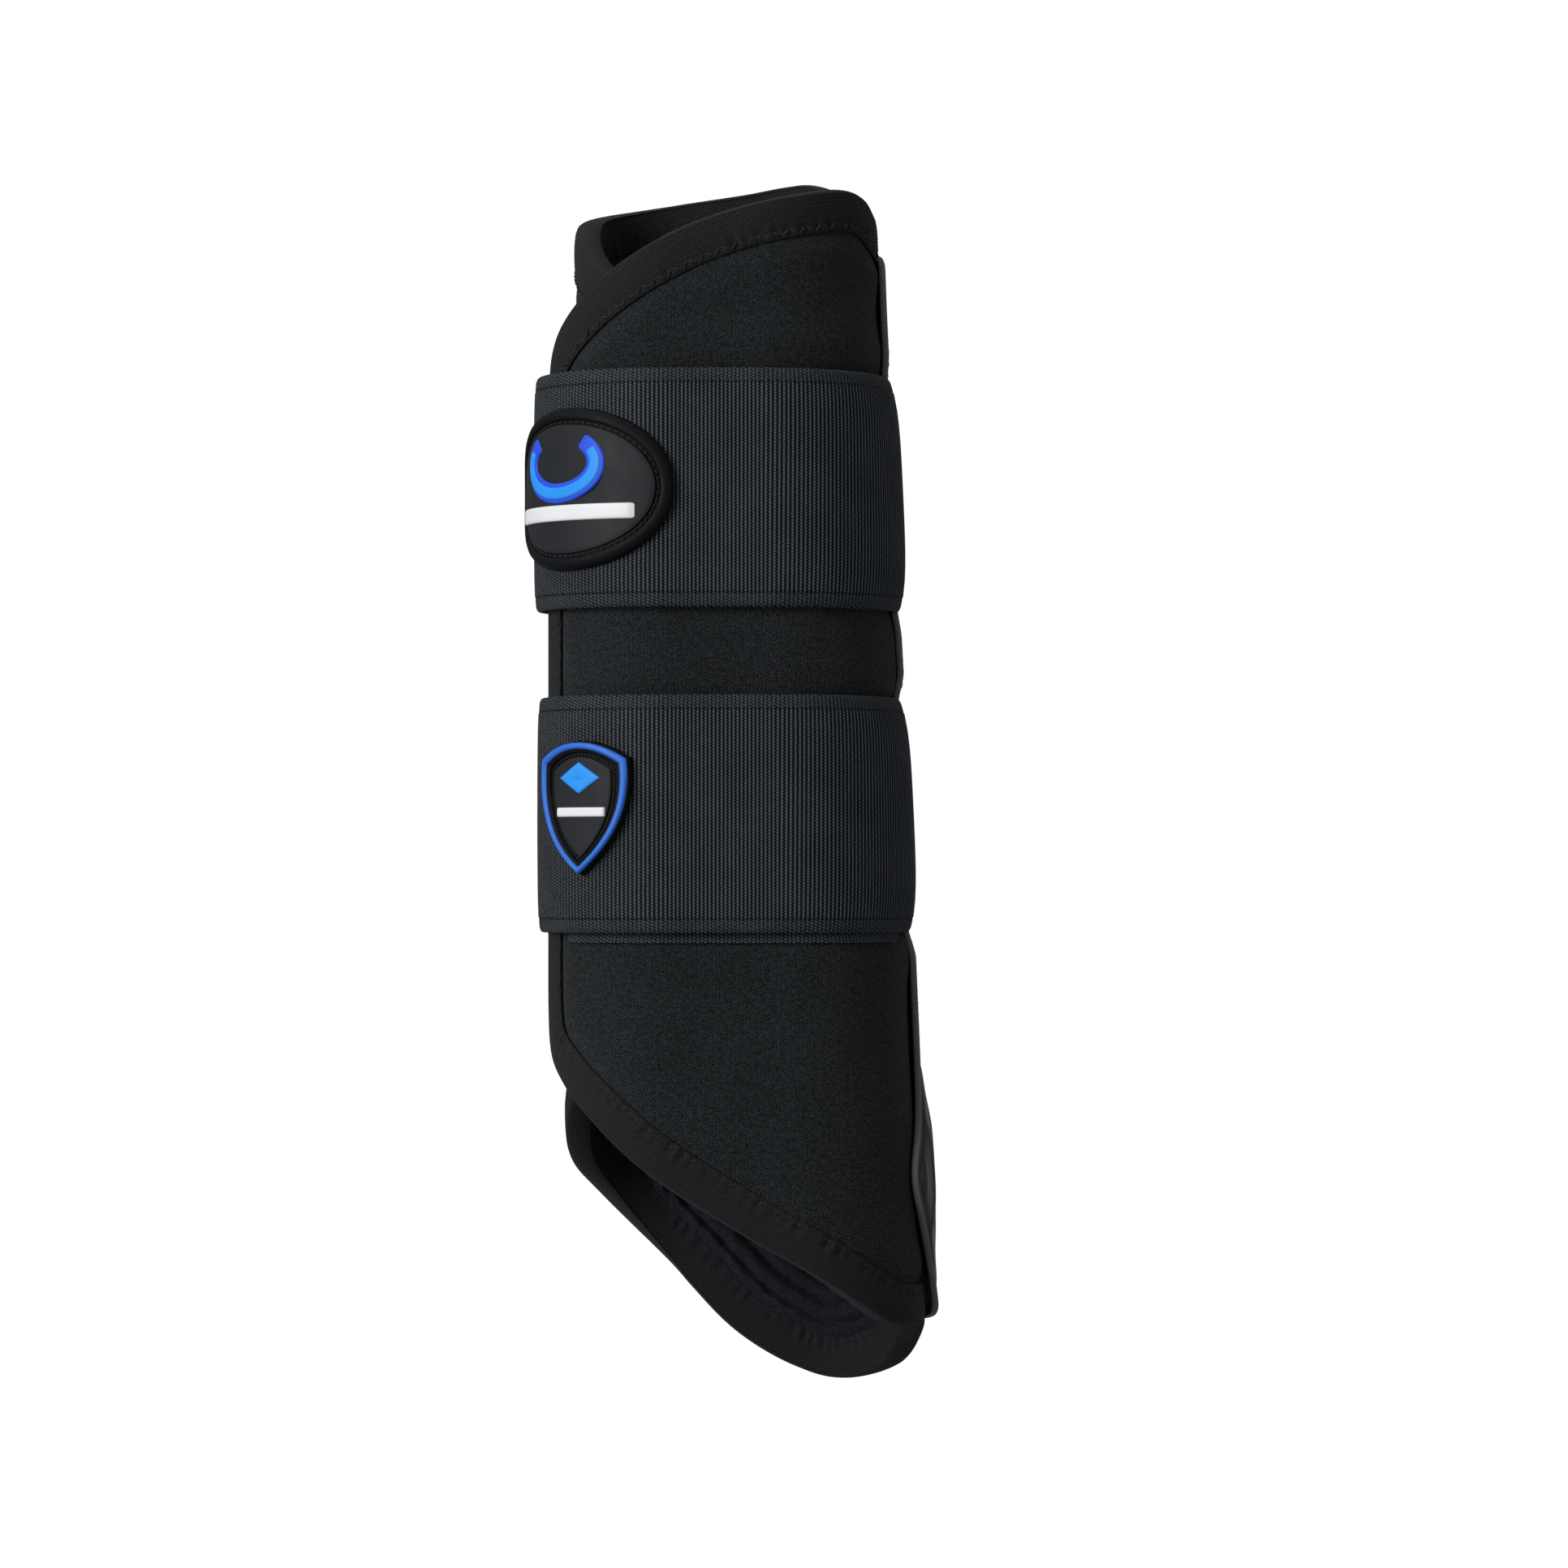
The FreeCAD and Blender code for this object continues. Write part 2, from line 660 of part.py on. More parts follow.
def build():
    """Every sub-part by name."""
    parts = {}
    parts.update(outer_flap())
    parts.update(rear())
    parts.update(inner_flap())
    parts.update(guard())
    parts["guard_stitching"] = guard_stitches()
    for name, bottom, outline in (("upper", upper_strap_bottom, egg), ("lower", lower_strap_bottom, shield)):
        parts[name + "_landing_band"] = landing_band(bottom)
        parts[name + "_strap_anchor"] = anchor(bottom)
        parts[name + "_anchor_stitching"] = anchor_stitches(bottom)
        parts[name + "_loop_patch"] = loop_patch(bottom)
        parts[name + "_strap"] = strap(bottom)
        parts[name + "_hook_patch"] = hook_patch(bottom)
        parts[name + "_badge"] = badge(outline)
        parts[name + "_badge_stitching"] = badge_stitches(outline)
    parts["upper_emblem"] = raised(horseshoe(strap_front + shoe_run, upper_middle + shoe_rise,
                                             shoe_width, shoe_height, shoe_bar))
    parts["upper_badge_bar"] = raised(bar(upper_bar_runs, upper_middle, upper_bar_rises))
    parts["lower_badge_rim"] = raised(shield(shield_rim[0]).cut(shield(shield_rim[1])))
    parts["lower_emblem"] = raised(lozenge(strap_front + lozenge_run, lower_middle + lozenge_rise,
                                           lozenge_half_width, lozenge_half_height))
    parts["lower_badge_bar"] = raised(bar(lower_bar_runs, lower_middle, lower_bar_rises))
    return parts


os.makedirs("parts", exist_ok=True)
for name, shape in build().items():
    shape.exportStep("parts/%s.step" % name)
    print(name, len(shape.Solids), shape.isValid(), round(shape.Volume, 1), shape.optimalBoundingBox())
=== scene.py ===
import math
import bmesh
import bpy
import numpy as np
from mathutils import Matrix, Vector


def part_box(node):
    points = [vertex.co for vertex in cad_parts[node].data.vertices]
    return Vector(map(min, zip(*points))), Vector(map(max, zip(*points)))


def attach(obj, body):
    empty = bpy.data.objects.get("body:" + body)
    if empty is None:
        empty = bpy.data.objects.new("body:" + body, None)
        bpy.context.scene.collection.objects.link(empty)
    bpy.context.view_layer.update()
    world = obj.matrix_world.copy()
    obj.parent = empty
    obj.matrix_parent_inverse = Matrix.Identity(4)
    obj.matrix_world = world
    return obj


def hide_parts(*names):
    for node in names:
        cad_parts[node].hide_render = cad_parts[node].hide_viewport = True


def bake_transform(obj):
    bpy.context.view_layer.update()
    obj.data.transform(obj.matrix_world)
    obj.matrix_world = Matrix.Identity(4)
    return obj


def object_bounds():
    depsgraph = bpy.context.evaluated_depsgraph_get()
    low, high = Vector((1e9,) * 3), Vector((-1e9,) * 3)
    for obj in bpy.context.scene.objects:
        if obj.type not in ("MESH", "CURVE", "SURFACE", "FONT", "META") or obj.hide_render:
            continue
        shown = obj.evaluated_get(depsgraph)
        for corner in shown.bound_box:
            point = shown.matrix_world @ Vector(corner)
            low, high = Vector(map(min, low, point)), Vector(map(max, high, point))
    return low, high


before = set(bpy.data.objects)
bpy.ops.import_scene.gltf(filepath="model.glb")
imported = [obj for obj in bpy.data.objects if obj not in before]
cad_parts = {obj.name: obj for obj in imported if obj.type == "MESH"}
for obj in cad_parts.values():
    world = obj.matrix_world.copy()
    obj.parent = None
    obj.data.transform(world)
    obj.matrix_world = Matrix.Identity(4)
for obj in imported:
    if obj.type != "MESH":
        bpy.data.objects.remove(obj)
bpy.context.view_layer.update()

mm = 0.001
scene = bpy.context.scene
scene.view_settings.view_transform = "Standard"

# The view. The boot is looked at from the outer side of the leg, level, from a metre and a half away,
# with a long lens. The camera stands level with the lower strap, so the frame is shifted up a little.
camera_data = bpy.data.cameras.new("camera")
camera_data.sensor_width = 36
camera_data.lens = 132.4
camera_data.shift_y = 0.059
camera = bpy.data.objects.new("camera", camera_data)
camera.location = (16.9 * mm, -1.48, 130.8 * mm)
camera.rotation_euler = (math.radians(90), 0, 0)
scene.collection.objects.link(camera)
scene.camera = camera


# The studio. A white room that shows pure white behind the boot, a large soft light at the front left,
# a much weaker one at the right and one above. The boot is shown cut out, with no floor under it.
def softbox(name, place, target, width, height, power):
    """Rectangular soft light that faces a target."""
    light = bpy.data.lights.new(name, "AREA")
    light.shape = "RECTANGLE"
    light.size = width
    light.size_y = height
    light.energy = power
    lamp = bpy.data.objects.new(name, light)
    lamp.location = place
    facing = np.array(target) - np.array(place)
    lamp.rotation_mode = "QUATERNION"
    lamp.rotation_quaternion = Vector(facing.tolist()).to_track_quat("-Z", "Y")
    scene.collection.objects.link(lamp)


boot_middle = (5 * mm, 0, 150 * mm)
softbox("key_softbox", (-1.15, -1.1, 0.6), boot_middle, 0.8, 1.1, 22)
softbox("fill_softbox", (1.3, -1.2, 0.35), boot_middle, 0.9, 1.2, 1.4)
softbox("top_softbox", (-0.2, 0.1, 1.5), boot_middle, 1.2, 1.2, 5)

room = bpy.data.worlds.new("white_room")
room.use_nodes = True
scene.world = room
tree = room.node_tree
tree.nodes.clear()
shown = tree.nodes.new("ShaderNodeBackground")
shown.inputs["Color"].default_value = (1, 1, 1, 1)
shown.inputs["Strength"].default_value = 1.0
lit = tree.nodes.new("ShaderNodeBackground")
lit.inputs["Color"].default_value = (0.93, 0.97, 1, 1)
lit.inputs["Strength"].default_value = 0.22
ray = tree.nodes.new("ShaderNodeLightPath")
either = tree.nodes.new("ShaderNodeMixShader")
out = tree.nodes.new("ShaderNodeOutputWorld")
tree.links.new(ray.outputs["Is Camera Ray"], either.inputs[0])
tree.links.new(lit.outputs[0], either.inputs[1])
tree.links.new(shown.outputs[0], either.inputs[2])
tree.links.new(either.outputs[0], out.inputs[0])


# The wrap's plan. One band of laminate goes from the outer flap's edge back along the outer side and
# round the back, then forward along the inner side, round the front and in under the outer flap.
tuck_low, tuck_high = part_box("inner_flap_neoprene")
half_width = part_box("rear_panel_neoprene")[1][1]
front_x = -12 * mm                      # centre of the front curve
quarter = half_width * math.pi / 2      # length of a quarter turn, on the skin
laminate = 5 * mm
lining = 1 * mm
tip_radius = 17.5 * mm                  # a strap's tip turns the front more tightly
tuck_radius = (tuck_high[1] - tuck_low[1]) / 2
tuck_x = tuck_low[0] + tuck_radius


def back_x(z):
    """The back curve's centre, which leans forward evenly with height."""
    return 22 * mm - 0.0445 * z


def step(low, high, value):
    """Smooth change from 0 at low to 1 at high."""
    t = np.clip((value - low) / (high - low), 0, 1)
    return t * t * (3 - 2 * t)


def outer_half(s, z, lift):
    """Points of the outer half: s runs along the skin from the front line, first round a quarter
    circle, then straight, then round the back; lift is the distance out from the skin. Where s is
    below nought it goes round the front on the strap tip's tighter curve."""
    turn = np.clip(s / half_width, 0, math.pi / 2)
    tip = np.clip(-s / tip_radius, 0, None)
    straight = back_x(z) - front_x
    flank = np.clip(s - quarter, 0, straight)
    back = np.clip(s - quarter - straight, 0, None) / half_width
    radius = half_width + lift
    x = front_x - radius * np.cos(turn) + flank + radius * np.sin(back)
    x = x + (tip_radius + lift) * (1 - np.cos(tip))
    y = -radius * np.sin(turn) * np.cos(back) + (tip_radius + lift) * np.sin(tip)
    return np.stack([x, y, z + 0 * x], axis=-1)


def inner_half(s, z, lift):
    """Points of the inner half: s runs along the skin from the rearmost line, round the back,
    straight along the inner side, then half a turn round the front on the tucked end's own circle."""
    back = np.clip(s / half_width, None, math.pi / 2)
    straight = back_x(z) - tuck_x
    flank = np.clip(s - quarter, 0, straight)
    turn = np.clip(s - quarter - straight, 0, None) / tuck_radius
    x = back_x(z) + (half_width + lift) * np.cos(back) - flank - (tuck_radius + lift) * np.sin(turn)
    y = (half_width + lift) * np.sin(back) + (tuck_radius + lift) * (np.cos(turn) - 1)
    spread = 2.4 * mm * step(96 * mm, 72 * mm, z) * np.clip(np.sin(turn), 0, 1) ** 2
    return np.stack([x - spread, y, z + 0 * x], axis=-1)


def smooth_line(points, count):
    """Evenly spaced points on a curve through the given points (a Catmull-Rom spline)."""
    points = np.array(points, float) * mm
    points = np.vstack([2 * points[0] - points[1], points, 2 * points[-1] - points[-2]])
    t = np.linspace(0, 1, 40, endpoint=False)[:, None, None]
    a, b, c, d = points[:-3], points[1:-2], points[2:-1], points[3:]
    runs = 0.5 * (2 * b + (c - a) * t + (2 * a - 5 * b + 4 * c - d) * t ** 2
                  + (3 * b - 3 * c + d - a) * t ** 3)
    line = np.vstack([runs.transpose(1, 0, 2).reshape(-1, 2), points[-2]])
    return even(line, count)


def even(line, count):
    """The same line with evenly spaced points."""
    gaps = np.linalg.norm(np.diff(line, axis=0), axis=1)
    far = np.concatenate([[0], np.cumsum(gaps)])
    at = np.linspace(0, far[-1], count)
    return np.stack([np.interp(at, far, line[:, k]) for k in range(line.shape[1])], axis=-1)


def across_line(line):
    """Unit vectors to the left of a line in the flat pattern."""
    along = np.gradient(line, axis=0)
    along /= np.linalg.norm(along, axis=1, keepdims=True)
    return np.stack([-along[:, 1], along[:, 0]], axis=-1)


# Edges of the pattern laid flat, in millimetres, as (distance along the skin, height). The outer one
# starts at the back's top, goes forward, down the flap's edge and back along the rim.
outer_edge = smooth_line([(118.3, 298.2), (112, 299.4), (105, 302.4), (97, 303.8), (86, 302.6), (69.5, 299.2),
                          (54.8, 294.4), (42.5, 288.4), (31.5, 281.6), (20, 273.4), (11.5, 266), (7.2, 258.5),
                          (5.2, 245), (5, 220), (5, 170), (5, 120), (5.2, 98), (8.5, 86.5), (17, 78.5),
                          (27.3, 70), (44, 56.3), (69.5, 40.2), (84, 32), (99.5, 22.6), (108, 18.6),
                          (118, 17.3), (130.6, 17.2)], 900)
inner_edge = smooth_line([(0, 17.2), (8, 12.6), (20, 4.8), (36, 0.9), (50, 3.6), (66, 13.5), (81.6, 30.5),
                          (99.5, 48.2), (112, 57.6), (121, 66), (134, 80), (148, 95), (156.5, 105),
                          (160.5, 116), (161, 150), (156, 200), (152, 250), (150.5, 262), (145, 272),
                          (134, 281), (120, 289.5), (108, 296), (99, 299.8), (77.7, 303.8), (54, 307.4),
                          (38, 309.8), (28, 309.6), (16, 304.8), (7, 300.2), (0, 298.2)], 900)


def build_mesh(name, points, faces, pattern):
    """Mesh from arrays of points and four-cornered faces, turned outwards, with pattern as its UV map."""
    a, b, c, d = (points[faces[:, k]] for k in range(4))
    if np.einsum("ij,ij->", a, np.cross(b, c)) + np.einsum("ij,ij->", a, np.cross(c, d)) < 0:
        faces = faces[:, ::-1]
    mesh = bpy.data.meshes.new(name)
    mesh.vertices.add(len(points))
    mesh.vertices.foreach_set("co", points.astype(np.float32).ravel())
    mesh.loops.add(faces.size)
    mesh.loops.foreach_set("vertex_index", faces.astype(np.int32).ravel())
    mesh.polygons.add(len(faces))
    mesh.polygons.foreach_set("loop_start", np.arange(0, faces.size, 4, dtype=np.int32))
    mesh.update(calc_edges=True)
    flat = pattern[faces.ravel()].astype(np.float32)
    mesh.uv_layers.new(name="cloth").data.foreach_set("uv", flat.ravel())
    mesh.shade_smooth()
    mesh.set_sharp_from_angle(angle=math.radians(50))
    return mesh


def make_piece(name, mesh, finish):
    """Visible piece from a mesh and its finish."""
    mesh.materials.append(finish)
    piece = bpy.data.objects.new(name, mesh)
    scene.collection.objects.link(piece)
    return piece


def two_faced(name, face, back, pattern, finish):
    """Closed piece between two grids of points: the face, the back, and four strips that join them."""
    rows, columns = face.shape[:2]
    index = np.arange(rows * columns).reshape(rows, columns)
    under = index + rows * columns
    quads = [np.stack([index[:-1, :-1], index[1:, :-1], index[1:, 1:], index[:-1, 1:]], -1).reshape(-1, 4),
             np.stack([under[:-1, :-1], under[:-1, 1:], under[1:, 1:], under[1:, :-1]], -1).reshape(-1, 4)]
    for rim, low in ((index[0], under[0]), (index[-1][::-1], under[-1][::-1]),
                     (index[::-1, 0], under[::-1, 0]), (index[:, -1], under[:, -1])):
        quads.append(np.stack([rim[:-1], rim[1:], low[1:], low[:-1]], -1))
    points = np.concatenate([face.reshape(-1, 3), back.reshape(-1, 3)])
    flat = np.concatenate([pattern.reshape(-1, 2)] * 2)
    return make_piece(name, build_mesh(name, points, np.concatenate(quads), flat), finish)


def node(finish, kind, *inputs, **settings):
    """One shader node: each input is a number, a colour, a socket or a Grade, in the sockets' order."""
    made = finish.node_tree.nodes.new("ShaderNode" + kind)
    for key, value in settings.items():
        setattr(made, key, value)
    for socket, value in zip(made.inputs, inputs):
        value = getattr(value, "socket", value)
        if isinstance(value, bpy.types.NodeSocket):
            finish.node_tree.links.new(value, socket)
        elif value is not None:
            socket.default_value = value
    return made


class Grade:
    """A number that varies over a finish. Arithmetic with it makes the shader's Math nodes."""

    def __init__(self, finish, socket):
        """Keeps the finish and the socket that gives the number."""
        self.finish = finish
        self.socket = socket

    def math(self, operation, *others):
        """That operation on this number and the others."""
        return Grade(self.finish, node(self.finish, "Math", self, *others, operation=operation).outputs[0])

    def __add__(self, other):
        """The sum."""
        return self.math("ADD", other)

    def __sub__(self, other):
        """The difference."""
        return self.math("SUBTRACT", other)

    def __rsub__(self, other):
        """A plain number less this one."""
        return self.math("MULTIPLY_ADD", -1.0, other)

    def __mul__(self, other):
        """The product."""
        return self.math("MULTIPLY", other)

    def __truediv__(self, other):
        """The quotient."""
        return self.math("DIVIDE", other)

    def wave(self, period):
        """Sine wave of this number, with that period."""
        return (self * (2 * math.pi / period)).math("SINE")

    def span(self, from_low, from_high, to_low, to_high):
        """This number moved from one range to another and kept inside it."""
        moved = node(self.finish, "MapRange", self, from_low, from_high, to_low, to_high, clamp=True)
        return Grade(self.finish, moved.outputs[0])


def new_finish(name, roughness, sheen=0.0, sheen_roughness=0.5, specular=0.5):
    """Empty finish with the constant values of its shader set."""
    finish = bpy.data.materials.new(name)
    finish.use_nodes = True
    shader = finish.node_tree.nodes["Principled BSDF"]
    shader.inputs["Roughness"].default_value = roughness
    shader.inputs["Sheen Weight"].default_value = sheen
    shader.inputs["Sheen Roughness"].default_value = sheen_roughness
    shader.inputs["Specular IOR Level"].default_value = specular
    return finish


def on_cloth(finish):
    """Both coordinates of the piece's own pattern, in metres."""
    place = node(finish, "UVMap", uv_map="cloth")
    split = node(finish, "SeparateXYZ", place.outputs[0])
    return Grade(finish, split.outputs[0]), Grade(finish, split.outputs[1]), place.outputs[0]


def blotches(finish, place, size, detail=3.0):
    """Soft noise from 0 to 1 whose spots are about that size in metres."""
    noise = node(finish, "TexNoise", place, None, 1 / size, detail, 0.6, noise_dimensions="3D")
    return Grade(finish, noise.outputs["Fac"])


def between(finish, share, low, high):
    """Colour between two colours by a share."""
    mixed = node(finish, "Mix", data_type="RGBA")
    finish.node_tree.links.new(share.socket, mixed.inputs["Factor"])
    mixed.inputs["A"].default_value = (*low, 1)
    mixed.inputs["B"].default_value = (*high, 1)
    return mixed.outputs["Result"]


def wear(finish, colour, height, depth, roughness=None):
    """Puts colour, bumps and roughness on a finish's shader. depth is the bumps' real height in metres."""
    shader = finish.node_tree.nodes["Principled BSDF"]
    finish.node_tree.links.new(colour, shader.inputs["Base Color"])
    bump = node(finish, "Bump")
    bump.inputs["Strength"].default_value = 1.0
    bump.inputs["Distance"].default_value = depth
    finish.node_tree.links.new(height.socket, bump.inputs["Height"])
    finish.node_tree.links.new(bump.outputs[0], shader.inputs["Normal"])
    if roughness is not None:
        finish.node_tree.links.new(roughness.socket, shader.inputs["Roughness"])


# Neoprene. Black foam faced with a fine weft-knit jersey, cut as one piece, soft enough to swell a
# little beside the straps that squeeze it and beside the stitching along its edges.
upper_strap_low, upper_strap_high = (corner[2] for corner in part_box("upper_strap"))
lower_strap_low, lower_strap_high = (corner[2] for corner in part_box("lower_strap"))
strap_heights = {"upper": (upper_strap_low, upper_strap_high), "lower": (lower_strap_low, lower_strap_high)}
under_tape = 3 * mm                     # the foam's cut edge lies this far inside the tape's edge


def knit(name, dark, pale, wale=0.95 * mm, course=0.75 * mm, depth=0.2 * mm, sheen=0.05):
    """Jersey: columns of small V-shaped stitches."""
    finish = new_finish(name, 0.85, sheen, 0.45, 0.12)
    u, v, place = on_cloth(finish)
    fold = ((u / wale).math("FRACT") - 0.5).math("ABSOLUTE")
    row = v / course + fold * 0.5 + u / (1.7 * mm)
    loops = row.wave(1)
    fuzz = blotches(finish, place, 0.45 * mm)
    grain = blotches(finish, place, 1.3 * mm)
    cloud = blotches(finish, place, 16 * mm)
    height = loops * 0.5 - fold * 0.5 + fuzz * 2.4
    shade = loops * 0.13 + fuzz * 3.0 - 1.86 + grain * 1.2 + cloud * 0.25
    wear(finish, between(finish, shade, dark, pale), height, depth)
    return finish


def squeeze(z):
    """How far the straps press the foam in, and how far it swells just above and below them."""
    press = 0
    swell = 0
    for which, share in (("lower", 1.9), ("upper", 1.1)):
        low, high = strap_heights[which]
        press = press + share * step(low - 3 * mm, low + 3 * mm, z) * step(high + 3 * mm, high - 3 * mm, z)
        swell = swell + np.exp(-((z - low + 7 * mm) / (5 * mm)) ** 2)
        swell = swell + np.exp(-((z - high - 7 * mm) / (5 * mm)) ** 2)
    return swell * 0.7 * mm - press * 0.9 * mm


def ripple(s, z):
    """Slow unevenness of hand-cut foam: a few long waves that cross each other."""
    waves = (np.sin(2 * math.pi * (s / 0.047 + z / 0.083) + 0.4)
             + np.sin(2 * math.pi * (z / 0.061 - s / 0.117) + 1.9)
             + 0.6 * np.sin(2 * math.pi * (s / 0.023 - z / 0.041) + 2.7))
    return waves * 0.13 * mm


def pattern_grid(half, edge, first, last, columns, rows):
    """Grid of (s, z) that fills a pattern between its upper and lower edges, drawn in under the tape.
    Columns are shares of the way along the band, and each share has one height on either edge."""
    line = edge + across_line(edge) * under_tape
    share = share_of(half, line)
    turn_at = np.argmin(share) if half is outer_half else np.argmax(share)
    sides = [line[:turn_at + 1], line[turn_at:]]
    shares = [share[:turn_at + 1], share[turn_at:]]
    at = np.linspace(first, last, columns)
    heights = []
    for side, values in zip(sides, shares):
        order = np.argsort(values)
        heights.append(np.interp(at, values[order], side[order, 1]))
    low, high = np.minimum(*heights), np.maximum(*heights)
    up = np.linspace(0, 1, rows)[:, None] ** 1.4
    z = low + (high - low) * up
    return along_of(half, at + 0 * z, z), z


def share_of(half, line):
    """Share of the way along the band, one for each stretch of its plan, at points (s, z)."""
    s, z = line[:, 0], line[:, 1]
    straight = back_x(z) - (front_x if half is outer_half else tuck_x)
    end = half_width if half is outer_half else tuck_radius
    return (np.clip(s / quarter, None, 1) + np.clip((s - quarter) / straight, 0, 1)
            + np.clip(s - quarter - straight, 0, None) / (end * math.pi / 2))


def along_of(half, share, z):
    """Distance along the skin at that share of the way."""
    straight = back_x(z) - (front_x if half is outer_half else tuck_x)
    end = half_width if half is outer_half else tuck_radius
    return (np.clip(share, None, 1) * quarter + np.clip(share - 1, 0, 1) * straight
            + np.clip(share - 2, 0, None) * end * math.pi / 2)


def edge_gap(s, z, edge):
    """Distance in the pattern from each point to the nearest point of the edge."""
    thin = edge[::2]
    flat = np.stack([s.ravel(), z.ravel()], -1)
    gap = np.full(len(flat), 1.0)
    for start in range(0, len(flat), 4000):
        part = flat[start:start + 4000]
        gap[start:start + 4000] = np.sqrt(((part[:, None] - thin[None]) ** 2).sum(-1)).min(1)
    return gap.reshape(s.shape)


def bend_with_flap(piece, side):
    """Bakes the placement of a piece of the outer or the inner half into its points; the piece is not bent."""
    if side == "outer":
        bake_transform(piece)
    else:
        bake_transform(piece)


def foam_lift(s, z, edge):
    """The skin's rise: pressed by straps, pulled in by the tape's stitching and swollen beside it."""
    gap = edge_gap(s, z, edge)
    sewn = -0.8 * mm * np.exp(-((gap - 8.6 * mm) / (2.4 * mm)) ** 2)
    proud = 0.7 * mm * np.exp(-((gap - 14.5 * mm) / (4.5 * mm)) ** 2)
    free = step(9 * mm, 16 * mm, gap)
    return sewn + proud + free * (squeeze(z) + ripple(s, z))


def crease_line(z):
    """Distance along the skin of the lining's crease, which leans back as it rises."""
    return 73 * mm + 0.61 * (z - 28.7 * mm)


def quilting(s, z, edge):
    """Rise of the lining inside the fetlock cup: rolls between three seams that follow the rim, a
    crease where the seams end, and small gathers beside it."""
    gap = edge_gap(s, z, edge)
    cup = step(125 * mm, 100 * mm, z) * step(2 * mm, 14 * mm, s) * step(128 * mm, 112 * mm, s)
    seams = 0
    for seam in quilt_seams:
        seams = seams + np.exp(-((gap - seam) / (0.95 * mm)) ** 2)
    rolls = step(9 * mm, 13 * mm, gap) * step(34 * mm, 26 * mm, gap) * 1.7 * mm
    crease_at = s - crease_line(z)
    crease = 2.6 * mm * np.exp(-(crease_at / (1.3 * mm)) ** 2)
    crease = crease - 2.2 * mm * np.exp(-((crease_at - 3.4 * mm) / (1.8 * mm)) ** 2)
    near = np.exp(-(crease_at / (15 * mm)) ** 2)
    gathers = np.sin(2 * math.pi * s / (5.3 * mm) + 0.6 * np.sin(2 * math.pi * z / (19 * mm)))
    gathers = gathers * 0.35 * mm * near
    inside = step(8 * mm, 12 * mm, gap)
    return cup * (rolls - 2.5 * mm * seams * step(1 * mm, -5 * mm, crease_at) + inside * (crease + gathers))


quilt_seams = (13.5 * mm, 18.5 * mm, 23.5 * mm)
jersey = knit("black_jersey", (0.0035, 0.0043, 0.005), (0.042, 0.048, 0.053))
plain_lining = knit("black_lining", (0.006, 0.0065, 0.0085), (0.026, 0.028, 0.034), 0.6 * mm, 0.5 * mm,
                    0.03 * mm, 0.05)
pattern_rows = 230
for side, half, edge, first, last, columns in (
        ("outer", outer_half, outer_edge, 8 * mm / quarter, 3.0, 120),
        ("inner", inner_half, inner_edge, 0.0, 3.93, 160)):
    s, z = pattern_grid(half, edge, first, last, columns, pattern_rows)
    pattern = np.stack([s, z], -1)
    lift = foam_lift(s, z, edge)
    folds = quilting(s, z, edge) if side == "inner" else 0 * s
    glue_line = half(s, z, lift * 0 + lining - laminate)
    foam = two_faced(side + "_wrap_neoprene", half(s, z, lift), glue_line, pattern, jersey)
    inside = half(s, z, -laminate - 0.4 * (lift - lift.mean()) - folds)
    skin = two_faced(side + "_wrap_lining", glue_line, inside, pattern, plain_lining)
    for piece in (foam, skin):
        bend_with_flap(piece, side)
    if side == "outer":
        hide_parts("outer_flap_neoprene")
        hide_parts("outer_flap_lining")
    else:
        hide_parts("rear_panel_neoprene", "inner_flap_neoprene")
        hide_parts("rear_panel_lining", "inner_flap_lining")


# Binding. A fine-ribbed stretch tape folded over every edge of the wrap and sewn through close to its
# inner edge, which pulls it in so that it stands up round on both sides of the seam.
tape_width = 9.6 * mm
tape_ribs = 8
seam_in = 7.9 * mm                      # from the edge to the seam


def tape_section():
    """The tape's section round the edge: width in from the edge, rise, share of its own width."""
    reach = np.linspace(1, 0, 30)
    across = reach * tape_width
    crown = 1.05 * mm * np.sqrt(np.clip(1 - ((across - 3.6 * mm) / (5.2 * mm)) ** 2, 0, 1))
    lip = 0.55 * mm * np.exp(-((across - 9.0 * mm) / (0.7 * mm)) ** 2)
    ribs = 0.045 * mm * np.cos(2 * math.pi * across / (seam_in / tape_ribs))
    ribs = ribs * step(7.4 * mm, 6.8 * mm, across)
    rise = np.maximum(crown, 0.12 * mm) + lip + ribs
    middle = -laminate / 2
    bend = np.linspace(0, math.pi, 12)[1:-1]
    depth = laminate / 2 + rise[-1]
    round_in = -np.sin(bend) * 1.0 * mm
    round_rise = middle + np.cos(bend) * depth
    back_rise = -laminate - rise[::-1] * 0.6
    width = np.concatenate([across, round_in, across[::-1]])
    height = np.concatenate([rise, round_rise, back_rise])
    own = np.concatenate([[0], np.cumsum(np.hypot(np.diff(width), np.diff(height)))])
    inside = np.concatenate([rise * 0, np.linspace(0, -laminate, len(bend)), rise * 0 - laminate])
    inside_width = np.concatenate([across, round_in * 0 + 0.6 * mm, across[::-1]])
    return width, height, own, inside_width, inside


def ribbed_tape(name, dark, pale):
    """Fine ribs along the tape, crossed by the knit's short rows."""
    finish = new_finish(name, 0.8, 0.05, 0.4, 0.15)
    u, v, place = on_cloth(finish)
    ribs = v.wave(0.6 * mm)
    rows = u.wave(0.6 * mm)
    fuzz = blotches(finish, place, 0.6 * mm)
    height = rows * 0.35 + ribs * 0.7 + fuzz
    shade = ribs * 0.26 + rows * 0.12 + fuzz * 1.2 - 0.2
    wear(finish, between(finish, shade, dark, pale), height, 0.1 * mm)
    return finish


